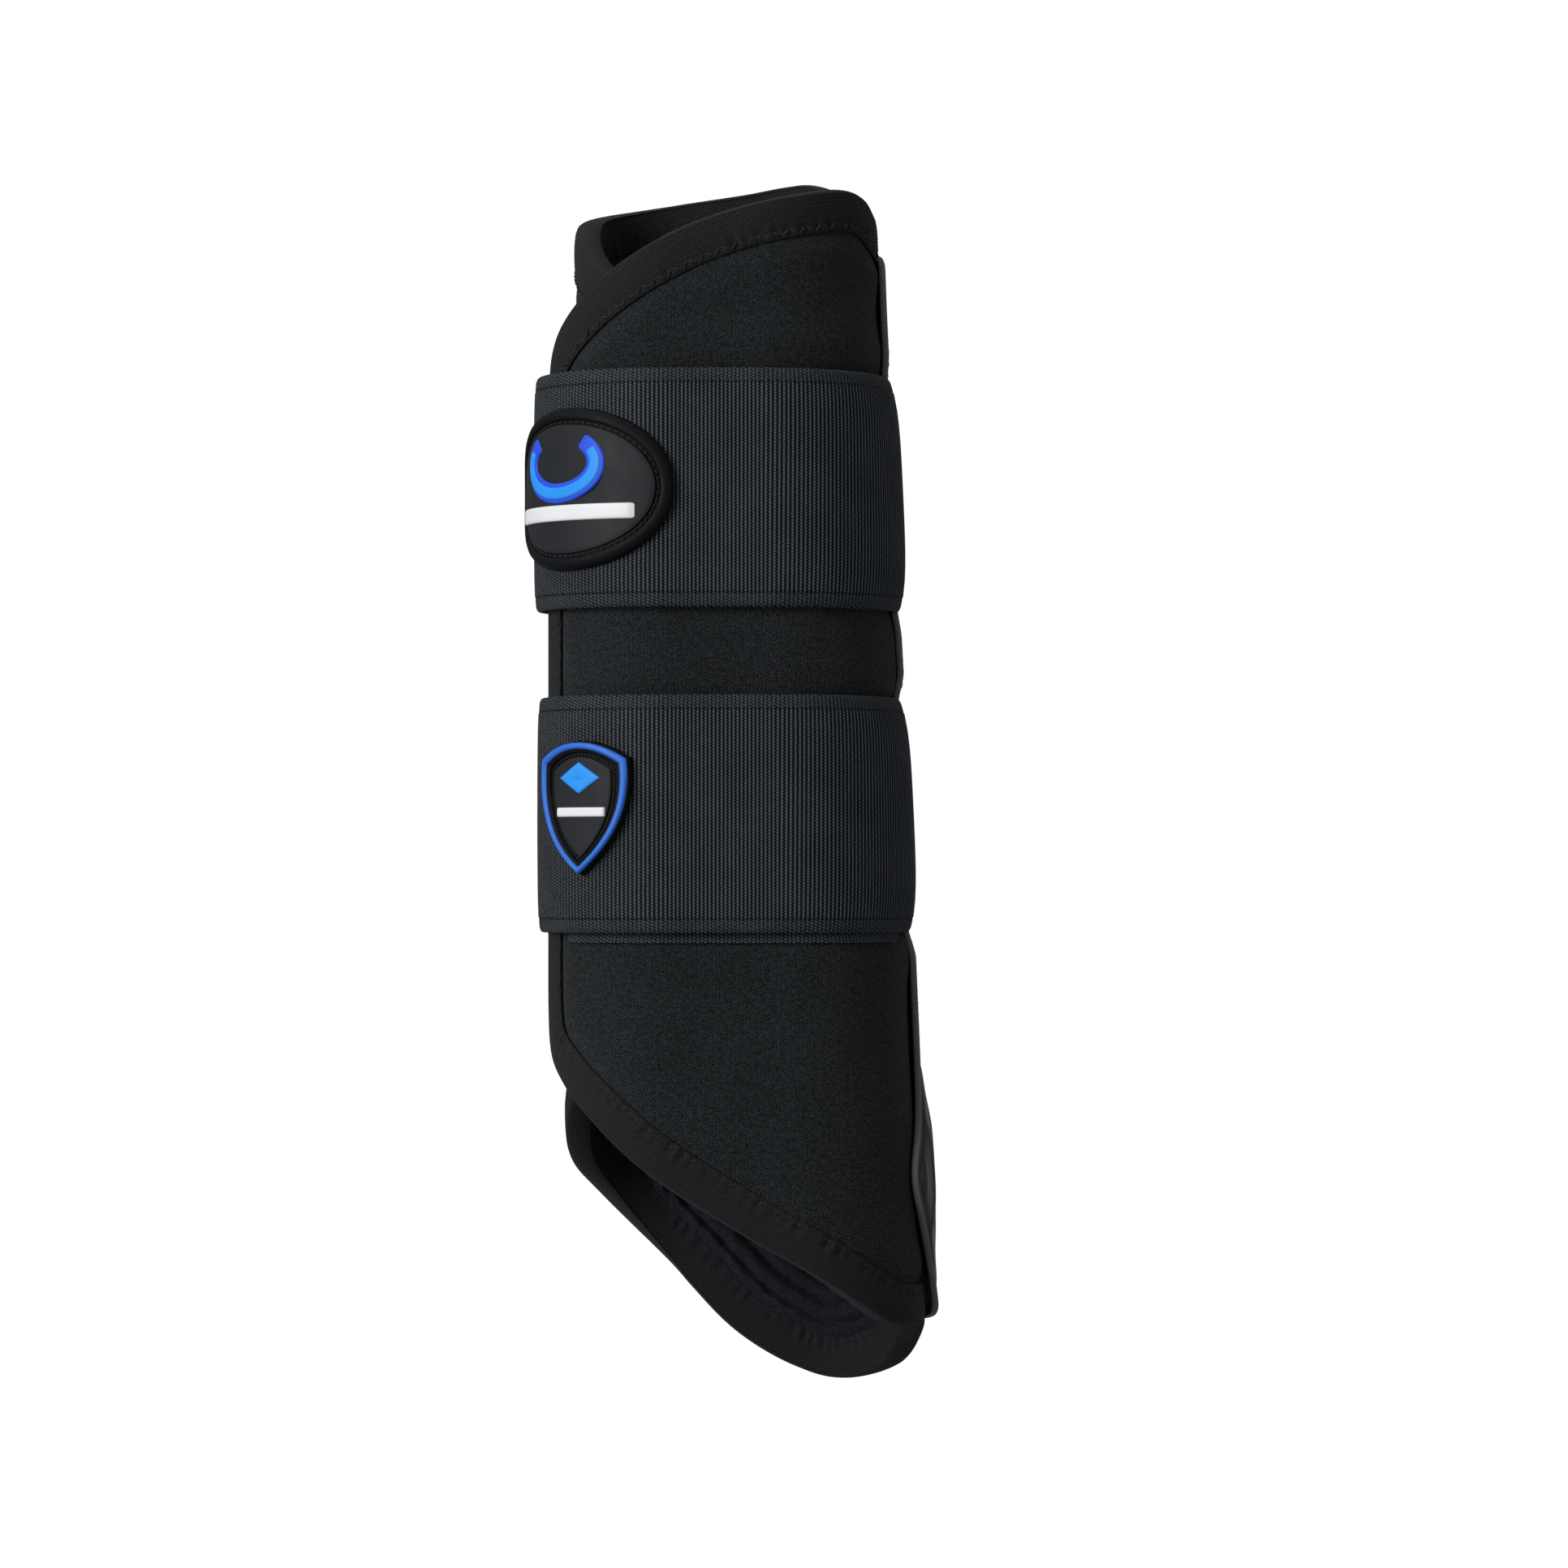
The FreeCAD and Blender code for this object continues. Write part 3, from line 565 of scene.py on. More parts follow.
def pucker(line_length, count, width):
    """Small gathers along the tape where the stitches pull it in: uneven waves, largest at the seam."""
    along = np.linspace(0, line_length, count)[:, None]
    wave = (np.sin(2 * math.pi * along / (3.9 * mm)) + 0.6 * np.sin(2 * math.pi * along / (6.7 * mm) + 1.3)
            + 0.5 * np.sin(2 * math.pi * along / (2.9 * mm) + 0.7))
    at_seam = np.exp(-((width - seam_in) / (2.0 * mm)) ** 2)
    slow = np.sin(2 * math.pi * along / (83 * mm)) * np.sin(2 * math.pi * along / (31 * mm) + 0.5)
    return wave * at_seam * 0.24 * mm * (0.75 + 0.5 * slow)


tape_finish = ribbed_tape("black_binding_tape", (0.003, 0.0036, 0.004), (0.032, 0.0355, 0.039))
tape_columns = 700
both_halves = (("outer", outer_half, outer_edge), ("inner", inner_half, inner_edge))
width, height, own, inside_width, inside = tape_section()
for side, half, edge in both_halves:
    edge = even(edge, tape_columns)
    inward = across_line(edge)
    length = np.linalg.norm(np.diff(edge, axis=0), axis=1).sum()
    s = edge[:, :1] + inward[:, :1] * width
    z = edge[:, 1:] + inward[:, 1:] * width
    lift = height + pucker(length, len(edge), width)
    face = half(s, z, lift)
    s_in = edge[:, :1] + inward[:, :1] * inside_width
    z_in = edge[:, 1:] + inward[:, 1:] * inside_width
    back = half(s_in, z_in, inside + 0 * s_in)
    run = np.linspace(0, length, len(edge))[:, None] + 0 * own
    pattern = np.stack([run, own + 0 * run], -1)
    tape = two_faced(side + "_wrap_binding", face, back, pattern, tape_finish)
    bend_with_flap(tape, side)
    if side == "outer":
        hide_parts("outer_flap_binding")
    else:
        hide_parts("rear_rim_binding", "rear_top_binding", "inner_flap_binding")


def stitches(name, middle, along, out, length, radius, finish, bow=0.35):
    """Short threads that bow up out of the cloth: each is a six-sided rod whose ends dip and narrow.
    middle, along and out are one row for each stitch: its centre, direction and outward normal."""
    along = along / np.linalg.norm(along, axis=1, keepdims=True)
    out = out / np.linalg.norm(out, axis=1, keepdims=True)
    side = np.cross(along, out)
    rings = np.array([-1, -0.75, 0, 0.75, 1])
    girth = np.array([0.35, 0.9, 1.0, 0.9, 0.35]) * radius
    angle = np.arange(6) * math.pi / 3
    centre = (middle[:, None] + along[:, None] * (rings * length / 2)[None, :, None]
              - out[:, None] * (rings ** 2 * bow * mm)[None, :, None])
    ring = (side[:, None, None] * np.cos(angle)[None, None, :, None]
            + out[:, None, None] * np.sin(angle)[None, None, :, None])
    points = (centre[:, :, None] + ring * girth[None, :, None, None]).reshape(-1, 3)
    first = (np.arange(len(middle)) * 30)[:, None, None]
    ring_start = (np.arange(4) * 6)[None, :, None]
    k = np.arange(6)[None, None, :]
    nxt = (k + 1) % 6
    base = first + ring_start
    walls = np.stack([base + k, base + nxt, base + 6 + nxt, base + 6 + k], -1).reshape(-1, 4)
    caps = np.array([[0, 3, 2, 1], [0, 5, 4, 3], [24, 25, 26, 27], [24, 27, 28, 29]])
    caps = (first[:, :, 0, None] + caps[None]).reshape(-1, 4)
    pattern = np.stack([points[:, 0] + points[:, 1], points[:, 2]], -1)
    mesh = build_mesh(name, points, np.concatenate([walls, caps]), pattern)
    return make_piece(name, mesh, finish)


def on_skin(half, s, z, lift, ds, dz):
    """Point, direction and outward normal on the wrap, for stitches at (s, z) that head (ds, dz)."""
    small = 0.2 * mm
    here = half(s, z, lift)
    there = half(s + ds * small, z + dz * small, lift)
    out = half(s, z, lift + small) - here
    return here, there - here, out


thread_finish = new_finish("black_thread", 0.55, 0.05, 0.4, 0.3)
u, v, place = on_cloth(thread_finish)
strand = between(thread_finish, blotches(thread_finish, place, 0.5 * mm), (0.005, 0.0052, 0.006),
                 (0.020, 0.021, 0.024))
wear(thread_finish, strand, (u + v).wave(0.4 * mm), 0.05 * mm)

for side, half, edge in both_halves:
    length = np.linalg.norm(np.diff(edge, axis=0), axis=1).sum()
    seam = even(edge + across_line(edge) * (seam_in + 0.5 * mm), int(length / (2.35 * mm)))
    inward = across_line(seam)
    heading = np.gradient(seam, axis=0)
    heading /= np.linalg.norm(heading, axis=1, keepdims=True)
    zig = np.where(np.arange(len(seam)) % 2 == 0, 1.0, -1.0)[:, None]
    loose = step(250 * mm, 262 * mm, seam[:, 1:])
    lean = heading + inward * zig * (0.12 + 0.75 * loose)
    lift = 0.55 * mm + 0.25 * mm * loose[:, 0]
    middle, along, out = on_skin(half, seam[:, 0], seam[:, 1], lift, lean[:, 0], lean[:, 1])
    sewing = stitches(side + "_binding_stitching", middle, along, out, 2.4 * mm, 0.36 * mm,
                      thread_finish, 0.3)
    bend_with_flap(sewing, side)

for number, seam_gap in enumerate(quilt_seams):
    seam = inner_edge + across_line(inner_edge) * seam_gap
    ends = (seam[:, 0] > 6 * mm) & (seam[:, 0] < crease_line(seam[:, 1]) - 2 * mm)
    seam = seam[(seam[:, 1] < 60 * mm) & ends]
    length = np.linalg.norm(np.diff(seam, axis=0), axis=1).sum()
    seam = even(seam, int(length / (3.6 * mm)))
    heading = np.gradient(seam, axis=0)
    middle, along, out = on_skin(inner_half, seam[:, 0], seam[:, 1], np.full(len(seam), 0.75 * mm - laminate),
                                 heading[:, 0], heading[:, 1])
    sewing = stitches("quilting_seam_%d" % (number + 1), middle, along, -out, 2.6 * mm, 0.28 * mm,
                      thread_finish, 0.2)
    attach(sewing, "rear")


# Strike guard. A tough grained sheet with a raw cut edge, sewn over the inner side and the back, where
# the other leg's shoe would hit. Its lower end carries a smooth moulded bulge with ribs, for the fetlock.
guard_low, guard_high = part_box("strike_guard")
guard_front = guard_low[0]
guard_bottom, guard_top = guard_low[2], guard_high[2]
pad_bottom, pad_top = (corner[2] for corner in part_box("fetlock_bulge"))
guard_lift = 1.0 * mm
guard_thick = 1.6 * mm


def rounded(radius, gap):
    """How far a rounded corner draws in, at that gap from its end: its radius less the circle's height."""
    return radius - np.sqrt(radius ** 2 - np.clip(radius - gap, 0, radius) ** 2)


def guard_near(z):
    """Its edge on the outer side: on the rearmost line, and further round where it cups the fetlock."""
    return -1.0 * mm - 10.5 * mm * np.exp(-((z - 54 * mm) / (15 * mm)) ** 2)


def guard_rise(s, z):
    """Lift of its back: pressed in at the straps' edges, standing off below where the leg widens."""
    flare = 1.9 * mm * step(44 * mm, 20 * mm, z)
    pinch = 0
    for which, share in (("lower", 1.75), ("upper", 0.75)):
        low, high = strap_heights[which]
        pinch = pinch + share * step(low - 7 * mm, low + 2 * mm, z) * step(high + 7 * mm, high - 2 * mm, z)
    tucked = 2.6 * mm * rounded(1, (z - 17 * mm) / (4.5 * mm))
    tucked = tucked + 1.8 * mm * rounded(1, (guard_top - z) / (4.5 * mm))
    return guard_lift + flare - tucked - pinch * mm + 0.6 * ripple(s, z)


def guard_grid(columns, rows):
    """Grid of (s, z) over the sheet: both front corners rounded, its top and bottom edges sloping there."""
    t = 1 - np.cos(np.linspace(0, math.pi / 2, columns))
    t = np.sin(t * math.pi / 2)[None, :]
    middle = (guard_top + guard_bottom) / 2
    reach = quarter + back_x(middle) - guard_front
    gap = (1 - t) * reach
    drop = rounded(16 * mm, gap)
    high = guard_top - 12 * mm * step(45 * mm, 0, gap) - drop
    low = guard_bottom + 27 * mm * step(55 * mm, 0, gap) + drop
    z = low + (high - low) * np.linspace(0, 1, rows)[:, None]
    near = guard_near(z) + rounded(7 * mm, np.minimum(z - guard_bottom, guard_top - z))
    return near + t * (quarter + back_x(z) - guard_front - near), z


def grained(name, dark, pale, grain, depth, roughness, specular):
    """Pebbled sheet: small rounded cells with finer dust on them."""
    finish = new_finish(name, roughness, 0.0, 0.5, specular)
    place = node(finish, "TexCoord").outputs["Object"]
    pebbles = node(finish, "TexVoronoi", place, None, 1 / grain, feature="F1")
    cells = Grade(finish, pebbles.outputs["Distance"])
    dust = blotches(finish, place, grain / 3)
    cloud = blotches(finish, place, 22 * mm)
    height = dust * 0.5 - cells * 1.2
    shade = dust * 0.5 + cloud * 0.6 - 0.1
    rough = cloud.span(0.3, 0.7, roughness - 0.06, roughness + 0.1)
    wear(finish, between(finish, shade, dark, pale), height, depth, rough)
    return finish


guard_finish = grained("grained_guard_sheet", (0.030, 0.031, 0.027), (0.085, 0.086, 0.075), 0.9 * mm,
                        0.10 * mm, 0.55, 0.3)
s, z = guard_grid(90, 220)
rise = guard_rise(s, z)
guard = two_faced("strike_guard_sheet", inner_half(s, z, rise + guard_thick), inner_half(s, z, rise),
                  np.stack([s, z], -1), guard_finish)
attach(guard, "rear")
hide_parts("strike_guard")


def joined_rings(points, closed=False):
    """Faces between each ring of points and the next one, and from the last to the first where closed."""
    rows, columns = points.shape[:2]
    index = np.arange(rows * columns).reshape(rows, columns)
    here, there = (index, np.roll(index, -1, 0)) if closed else (index[:-1], index[1:])
    return np.stack([here, np.roll(here, -1, 1), np.roll(there, -1, 1), there], -1).reshape(-1, 4)


raw_finish = grained("raw_cut_edge", (0.05, 0.052, 0.050), (0.30, 0.305, 0.295), 0.5 * mm,
                     0.12 * mm, 0.7, 0.2)
line = even(np.stack([s[:, 0], z[:, 0]], -1), 500)
turn = np.linspace(0, 2 * math.pi, 13)[None, :-1]
rise = guard_rise(line[:, :1], line[:, 1:]) + guard_thick / 2
bead = inner_half(line[:, :1] + 0.45 * mm * np.cos(turn), line[:, 1:] + 0 * turn,
                  rise + guard_thick * 0.54 * np.sin(turn))
mesh = build_mesh("guard_raw_edge", bead.reshape(-1, 3), joined_rings(bead), bead[..., :2].reshape(-1, 2))
raw_edge = make_piece("guard_raw_edge", mesh, raw_finish)
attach(raw_edge, "rear")

bulge_finish = grained("moulded_bulge", (0.026, 0.017, 0.012), (0.042, 0.028, 0.020), 1.6 * mm,
                       0.012 * mm, 0.26, 0.5)
bulge_reach = 34 * mm
bulge_rise = 2.1 * mm
rib_places = np.array([-8, -2, 4, 10, 17, 24]) * mm
u = np.linspace(0, 1, 130)[None, :]
v = np.linspace(0, 1, 90)[:, None]
z = pad_bottom - 2 * mm + (pad_top - pad_bottom + 4 * mm) * v
s = guard_near(z) + 2 * mm + (bulge_reach - guard_near(z) - 2 * mm) * u
corner = rounded(13 * mm, bulge_reach - s) + rounded(9 * mm, s - guard_near(z))
middle = (pad_bottom + pad_top) / 2
z = middle + (z - middle) * (1 - corner / ((pad_top - pad_bottom) / 2))
dome = np.sqrt(np.clip(1 - np.abs(2 * v - 1) ** 3, 0, 1)) * np.clip(1 - np.abs(2 * u - 1) ** 4, 0, 1) ** 0.6
ribs = np.exp(-(((s[..., None] - rib_places) / (1.1 * mm)) ** 2)).sum(-1)
ribs = ribs * step(0.1, 0.3, v) * step(0.9, 0.7, v)
rise = guard_rise(s, z) + guard_thick
bulge_face = inner_half(s, z, rise + dome * bulge_rise + ribs * 0.8 * mm * dome)
bulge = two_faced("fetlock_bulge_moulding", bulge_face, inner_half(s, z, rise - 0.6 * mm),
                  np.stack([s, z], -1), bulge_finish)
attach(bulge, "rear")
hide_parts("fetlock_bulge", "fetlock_ribs")

front_heights = np.linspace(62, 262, 54) * mm
near_heights = np.linspace(86, 284, 66) * mm
front_line = np.stack([quarter + back_x(front_heights) - guard_front - 4 * mm, front_heights], -1)
near_line = np.stack([guard_near(near_heights) + 4 * mm, near_heights], -1)
seams = np.vstack([front_line, near_line])
for low, high in (strap_heights["lower"], strap_heights["upper"]):
    clear_of_strap = np.abs(seams[:, 1] - (low + high) / 2) > 31 * mm
    seams = seams[clear_of_strap | (seams[:, 0] > 50 * mm)]
lift = guard_rise(seams[:, 0], seams[:, 1]) + guard_thick + 0.1 * mm
middle, along, out = on_skin(inner_half, seams[:, 0], seams[:, 1], lift, 0 * lift, 0 * lift + 1)
sewing = stitches("guard_edge_stitching", middle, along, out, 2.7 * mm, 0.26 * mm, thread_finish)
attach(sewing, "rear")
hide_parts("guard_stitching")


# Straps. Wide woven elastic, ribbed across its length, with a flat selvedge along both edges. Each is
# sewn down over the guard, lies round the outer side and fastens round the front with hook and loop.
# A thinner band of the same elastic is sewn on the flap below each, for the strap to lie on.
strap_thick = 2.0 * mm
rib_pitch = 1.0 * mm
selvedge = 3.6 * mm
split_x = 10 * mm                       # the strap's two pieces meet here
split_s = quarter + split_x - front_x
tip_s = -54 * math.pi / 180 * tip_radius
wrap_end = quarter + 52 * math.pi / 180 * half_width


def ribbed_elastic(name, dark, pale):
    """Woven elastic: pale ribs with dark valleys between them, a dotted weave, and flat selvedges."""
    finish = new_finish(name, 0.75, 0.04, 0.35, 0.15)
    u, v, place = on_cloth(finish)
    crest = (u * (2 * math.pi / rib_pitch)).math("COSINE").span(-0.35, 0.9, 0.0, 1.0)
    picks = v * (2 * math.pi / (0.78 * mm)) + u * (math.pi / rib_pitch)
    dots = picks.math("SINE") * 0.5 + 0.5
    fuzz = blotches(finish, place, 0.4 * mm)
    cloud = blotches(finish, place, 12 * mm)
    from_edge = v.math("MINIMUM", (upper_strap_high - upper_strap_low) - v)
    border = from_edge.span(selvedge - 0.4 * mm, selvedge + 0.4 * mm, 0.45, 1.0)
    line = from_edge.math("COMPARE", selvedge, 0.3 * mm)
    ribbed = u.span(18 * mm, 46 * mm, 0.35, 1.0) * border
    body = crest * (dots * 0.75 + 0.3) * ribbed
    flat = (1.0 - ribbed) * (dots * 0.34 + 0.06)
    shade = body * 0.85 + flat + fuzz - 0.53 + cloud * 0.2 - 0.1 - line * dots * 0.3
    height = fuzz * 1.3 + dots * 0.8
    wear(finish, between(finish, shade, dark, pale), height, 0.14 * mm)
    return finish


def rib_height(s, from_edge):
    """The ribs' own relief, which stops at the selvedge with a shallow groove."""
    inside = step(selvedge, selvedge + 0.4 * mm, from_edge)
    ribs = (0.5 + 0.5 * np.cos(2 * math.pi * s / rib_pitch)) ** 0.7
    groove = np.exp(-((from_edge - selvedge) / (0.3 * mm)) ** 2)
    return 0.20 * mm * ribs * (0.5 + 0.5 * inside) - 0.06 * mm * groove


def strap_back(s, z, low, high):
    """Lift of a strap's back: level on the flap, then up over the guard's edge."""
    straight = back_x(z) - front_x
    over = step(quarter + 0.55 * straight, quarter + straight + 36 * mm, s)
    v = 2 * (z - low) / (high - low) - 1
    slack = 0.25 * mm * np.sin(2 * math.pi * s / (61 * mm) + 0.8) * (1 - v ** 2)
    lower = low < upper_strap_low - 10 * mm
    snug = (0.9 * step(22 * mm, 8 * mm, s) if lower else 0) * mm
    rise = -0.55 if lower else 0.45
    return 1.9 * mm - snug + slack + over * (rise - 1.7 * np.abs(v) ** 4) * mm


def strap_rows(count_inside):
    """Shares across a strap, closer together at the selvedges."""
    width = upper_strap_high - upper_strap_low
    rim = np.array([0, 0.12, 0.4, 1.2, 2.4, 3.2, 3.5, 3.7, 4.0, 4.3]) * mm / width
    return np.concatenate([rim, np.linspace(rim[-1], 1 - rim[-1], count_inside)[1:-1], 1 - rim[::-1]])


def strap_piece(name, s, low, high, half_share, finish):
    """One length of a strap: s is its columns, and half_share narrows it towards a rounded tip."""
    share = strap_rows(14)[:, None]
    middle = (low + high) / 2
    z = middle + (share - 0.5) * (high - low) * half_share[None, :]
    s = s + 0 * z
    from_edge = np.minimum(share, 1 - share) * (high - low) + 0 * z
    round_edge = strap_thick * 0.45 * rounded(1, from_edge / (1.2 * mm))
    back = strap_back(s, z, low, high)
    v = 2 * share - 1
    thick = strap_thick * (1 - 0.22 * np.abs(v) ** 8)
    face = outer_half(s, z, back + thick - round_edge + rib_height(s, from_edge))
    back = outer_half(s, z, back + round_edge * 0.6)
    return two_faced(name, face, back, np.stack([s, z - low], -1), finish)


elastic = ribbed_elastic("charcoal_ribbed_elastic", (0.0012, 0.0016, 0.0019), (0.145, 0.164, 0.188))
for which, (low, high) in strap_heights.items():
    body = which + "_strap"
    width = high - low
    columns = np.arange(split_s, tip_s, -rib_pitch / 8)[::-1]
    columns = np.concatenate([tip_s + np.array([0, 0.1, 0.3, 0.6]) * mm, columns[columns > tip_s + 0.8 * mm]])
    half_share = 1 - 2 * rounded(9 * mm, columns - tip_s) / width
    front = strap_piece(which + "_strap_elastic", columns, low, high, half_share, elastic)
    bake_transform(front)
    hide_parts(body)

    straight = back_x(low) - front_x
    columns = np.arange(split_s, quarter + straight + wrap_end, rib_pitch / 8)
    rear = strap_piece(which + "_strap_sewn_end", columns, low, high, np.ones(len(columns)), elastic)
    bend_with_flap(rear, "outer")
    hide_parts(body + "_anchor")

    rows = []
    for short in (3, 12):
        heights = np.arange(low + 3 * mm, high - 2 * mm, 3.2 * mm)
        s = np.full(len(heights), columns[-1] - short * math.pi / 180 * half_width)
        lift = strap_back(s, heights, low, high) + strap_thick + 0.2 * mm
        rows.append(on_skin(outer_half, s, heights, lift, 0 * s, 0 * s + 1))
    middle, along, out = (np.vstack([row[k] for row in rows]) for k in range(3))
    sewing = stitches(which + "_sewn_end_stitching", middle, along, out, 2.4 * mm, 0.25 * mm, thread_finish)
    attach(sewing, "rear")
    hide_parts(which + "_anchor_stitching")

    band_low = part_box(which + "_landing_band")[0][2]
    share = strap_rows(10)[:, None]
    columns = np.arange(20 * mm, quarter + back_x(band_low) - front_x + 38 * mm, rib_pitch / 6)
    narrow = 1 - 2 * rounded(6 * mm, columns[-1] - columns) / width
    shown = 0.2 * mm if which == "upper" else 2.4 * mm
    z = low - shown + (width - 1 * mm) / 2 + (share - 0.5) * (width - 1 * mm) * narrow[None, :]
    s = columns + 0 * z
    from_edge = np.minimum(share, 1 - share) * width + 0 * z
    base = np.minimum(foam_lift(s, z, outer_edge), 0.2 * mm)
    face = outer_half(s, z, base + 1.0 * mm + rib_height(s, from_edge))
    band = two_faced(which + "_band_elastic", face, outer_half(s, z, base - 0.3 * mm),
                     np.stack([s, z - band_low], -1), elastic)
    bend_with_flap(band, "outer")
    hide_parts(which + "_landing_band")


# Hook and loop. A pad of loop pile sewn on the inner flap under each strap, and a pad of stiff hooks
# behind each strap's tip that grips it.
def pile(name, dark, pale, tuft, depth):
    """Short pile: tiny tufts set in rows."""
    finish = new_finish(name, 0.9, 0.1, 0.6, 0.1)
    place = on_cloth(finish)[2]
    cells = node(finish, "TexVoronoi", place, None, 1 / tuft, feature="F1", voronoi_dimensions="2D")
    tufts = Grade(finish, cells.outputs["Distance"])
    fuzz = blotches(finish, place, tuft * 4)
    height = fuzz - tufts
    shade = fuzz * 0.9 + 0.35 - tufts * 0.8
    wear(finish, between(finish, shade, dark, pale), height, depth)
    return finish


loop_finish = pile("loop_pile", (0.006, 0.006, 0.007), (0.035, 0.036, 0.040), 0.7 * mm, 0.3 * mm)
hook_finish = pile("hook_pile", (0.008, 0.008, 0.008), (0.05, 0.05, 0.052), 1.1 * mm, 0.4 * mm)
for which, (low, high) in strap_heights.items():
    z = np.linspace(low + 3 * mm, high - 3 * mm, 40)[:, None]
    straight = back_x(z) - tuck_x
    s = quarter + straight + tuck_radius * np.radians(np.linspace(10, 76, 60))[None, :]
    across, up = np.linspace(-1, 1, 60)[None, :], np.linspace(-1, 1, 40)[:, None]
    crown = 1.2 * mm * (1 - np.abs(across) ** 12) * (1 - np.abs(up) ** 12)
    z = z + 0 * s
    loops = two_faced(which + "_loop_pile", inner_half(s, z, 0.2 * mm + crown),
                      inner_half(s, z, -0.6 * mm + 0 * s), np.stack([s, z], -1), loop_finish)
    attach(loops, "inner_flap")
    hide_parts(which + "_loop_patch")

    z = np.linspace(low + 4 * mm, high - 4 * mm, 40)[:, None]
    s = -tip_radius * np.radians(np.linspace(14, 51, 30))[None, :] + 0 * z
    hooks = two_faced(which + "_hook_pile", outer_half(s, z, 2.1 * mm + 0 * s),
                      outer_half(s, z, 0.9 * mm + 0 * s), np.stack([s, z + 0 * s], -1), hook_finish)
    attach(hooks, which + "_strap")
    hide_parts(which + "_hook_patch")


# Badges. Soft rubber mouldings stitched on the straps through a groove, bent round the front with
# them. The upper one is an oval with a horseshoe, the lower one a shield with a blue rim and a diamond.
def moulded(name, outline, middle, halves, profile, finish, closed_ring=False):
    """Moulding over a closed outline in the flat pattern. profile is (inset, height) pairs in mm from ring
    to ring; each ring is the outline drawn in evenly towards the middle. A ring at the middle closes it."""
    rings = []
    for inset, height in np.array(profile) * mm:
        rim_part = min(inset, 5 * mm)
        scale = (1 - rim_part / np.array(halves)) * (1 - (inset - rim_part) / (35 * mm))
        flat = middle + (outline - middle) * scale
        rings.append(np.concatenate([flat, np.full((len(flat), 1), height)], axis=1))
    rings = np.array(rings)
    points = outer_half(rings[..., 0], rings[..., 1], badge_base + rings[..., 2])
    faces = joined_rings(points, closed_ring)
    mesh = build_mesh(name, points.reshape(-1, 3), faces, rings[..., :2].reshape(-1, 2))
    merge_doubles(mesh)
    return make_piece(name, mesh, finish)


def merge_doubles(mesh):
    """Joins the points that lie on each other, as at a moulding's middle."""
    work = bmesh.new()
    work.from_mesh(mesh)
    bmesh.ops.remove_doubles(work, verts=work.verts, dist=0.002 * mm)
    bmesh.ops.dissolve_degenerate(work, edges=work.edges, dist=0.001 * mm)
    bmesh.ops.recalc_face_normals(work, faces=work.faces)
    work.to_mesh(mesh)
    work.free()
    mesh.shade_smooth()
    mesh.set_sharp_from_angle(angle=math.radians(50))


def rubber(name, dark, pale, roughness, specular=0.5):
    """Satin moulded rubber with a faint mould grain and soft smears."""
    finish = new_finish(name, roughness, 0.0, 0.5, specular)
    place = node(finish, "TexCoord").outputs["Object"]
    grain = blotches(finish, place, 0.5 * mm)
    smear = blotches(finish, place, 9 * mm)
    shade = grain * 0.5 + smear * 0.8 - 0.15
    rough = smear.span(0.3, 0.7, roughness - 0.07, roughness + 0.08)
    wear(finish, between(finish, shade, dark, pale), grain, 0.03 * mm, rough)
    return finish


def ribbon(name, line, width, low, high, finish):
    """Raised strip along a line in the flat pattern, with rounded shoulders."""
    inward = across_line(line)
    share = np.linspace(-1, 1, 13)[None, :]
    bend = np.sign(share) * (1 - (1 - np.abs(share)) ** 1.6)
    s = line[:, :1] + inward[:, :1] * bend * width[:, None] / 2
    z = line[:, 1:] + inward[:, 1:] * bend * width[:, None] / 2
    rise = low + (high - low) * np.sqrt(np.clip(1 - bend ** 6, 0, 1))
    end = np.linspace(0, 1, len(line))[:, None]
    rise = rise - (high - low) * 0.8 * (step(0.03, 0, end) + step(0.97, 1, end))
    back = outer_half(s, z, low - 0.4 * mm + 0 * s)
    return two_faced(name, outer_half(s, z, rise), back, np.stack([s, z], -1), finish)


black_rubber = rubber("black_badge_rubber", (0.003, 0.0031, 0.0036), (0.007, 0.0072, 0.0082), 0.6, 0.12)
plate_rubber = rubber("badge_plate_rubber", (0.012, 0.0135, 0.016), (0.022, 0.0245, 0.028), 0.6, 0.2)
royal_blue = rubber("royal_blue_rubber", (0.020, 0.075, 0.66), (0.030, 0.105, 0.85), 0.5, 0.25)
light_blue = rubber("light_blue_rubber", (0.02, 0.28, 0.88), (0.03, 0.36, 1.0), 0.5, 0.25)
white_rubber = rubber("white_rubber", (0.80, 0.81, 0.82), (0.90, 0.90, 0.90), 0.45, 0.4)
badge_base = 4.0 * mm
body_profile = [(40, -1), (20, -1), (8, -1), (0, -1), (0, 0.9), (0.35, 1.7), (1.0, 2.3), (1.8, 2.6),
                (2.5, 2.6), (2.95, 2.35), (3.15, 1.5), (4.05, 1.5), (4.2, 1.7), (8, 1.7), (20, 1.7), (40, 1.7)]
plate_profile = [(40, 1.5), (12, 1.5), (4.3, 1.5), (4.3, 2.05), (4.6, 2.2), (6, 2.2), (8, 2.2),
                 (10, 2.2), (12, 2.2), (14, 2.2), (17, 2.2), (20, 2.2), (40, 2.2)]
turns = np.linspace(0, 2 * math.pi, 220, endpoint=False)
oval_middle = np.array([24.0 * mm, (upper_strap_low + upper_strap_high) / 2])
oval_halves = (26.6 * mm, 20.5 * mm)
oval = oval_middle + np.stack([np.cos(turns) * oval_halves[0] * (1 - 0.02 * np.cos(2 * turns)),
                               np.sin(turns) * oval_halves[1]], -1)
arch_middle = np.array([28.4 * mm, 148.6 * mm])
corner_left = np.array([-11.9, 160.6])
corner_right = np.array([11.9, 160.6])
point = np.array([0.0, 131.0])


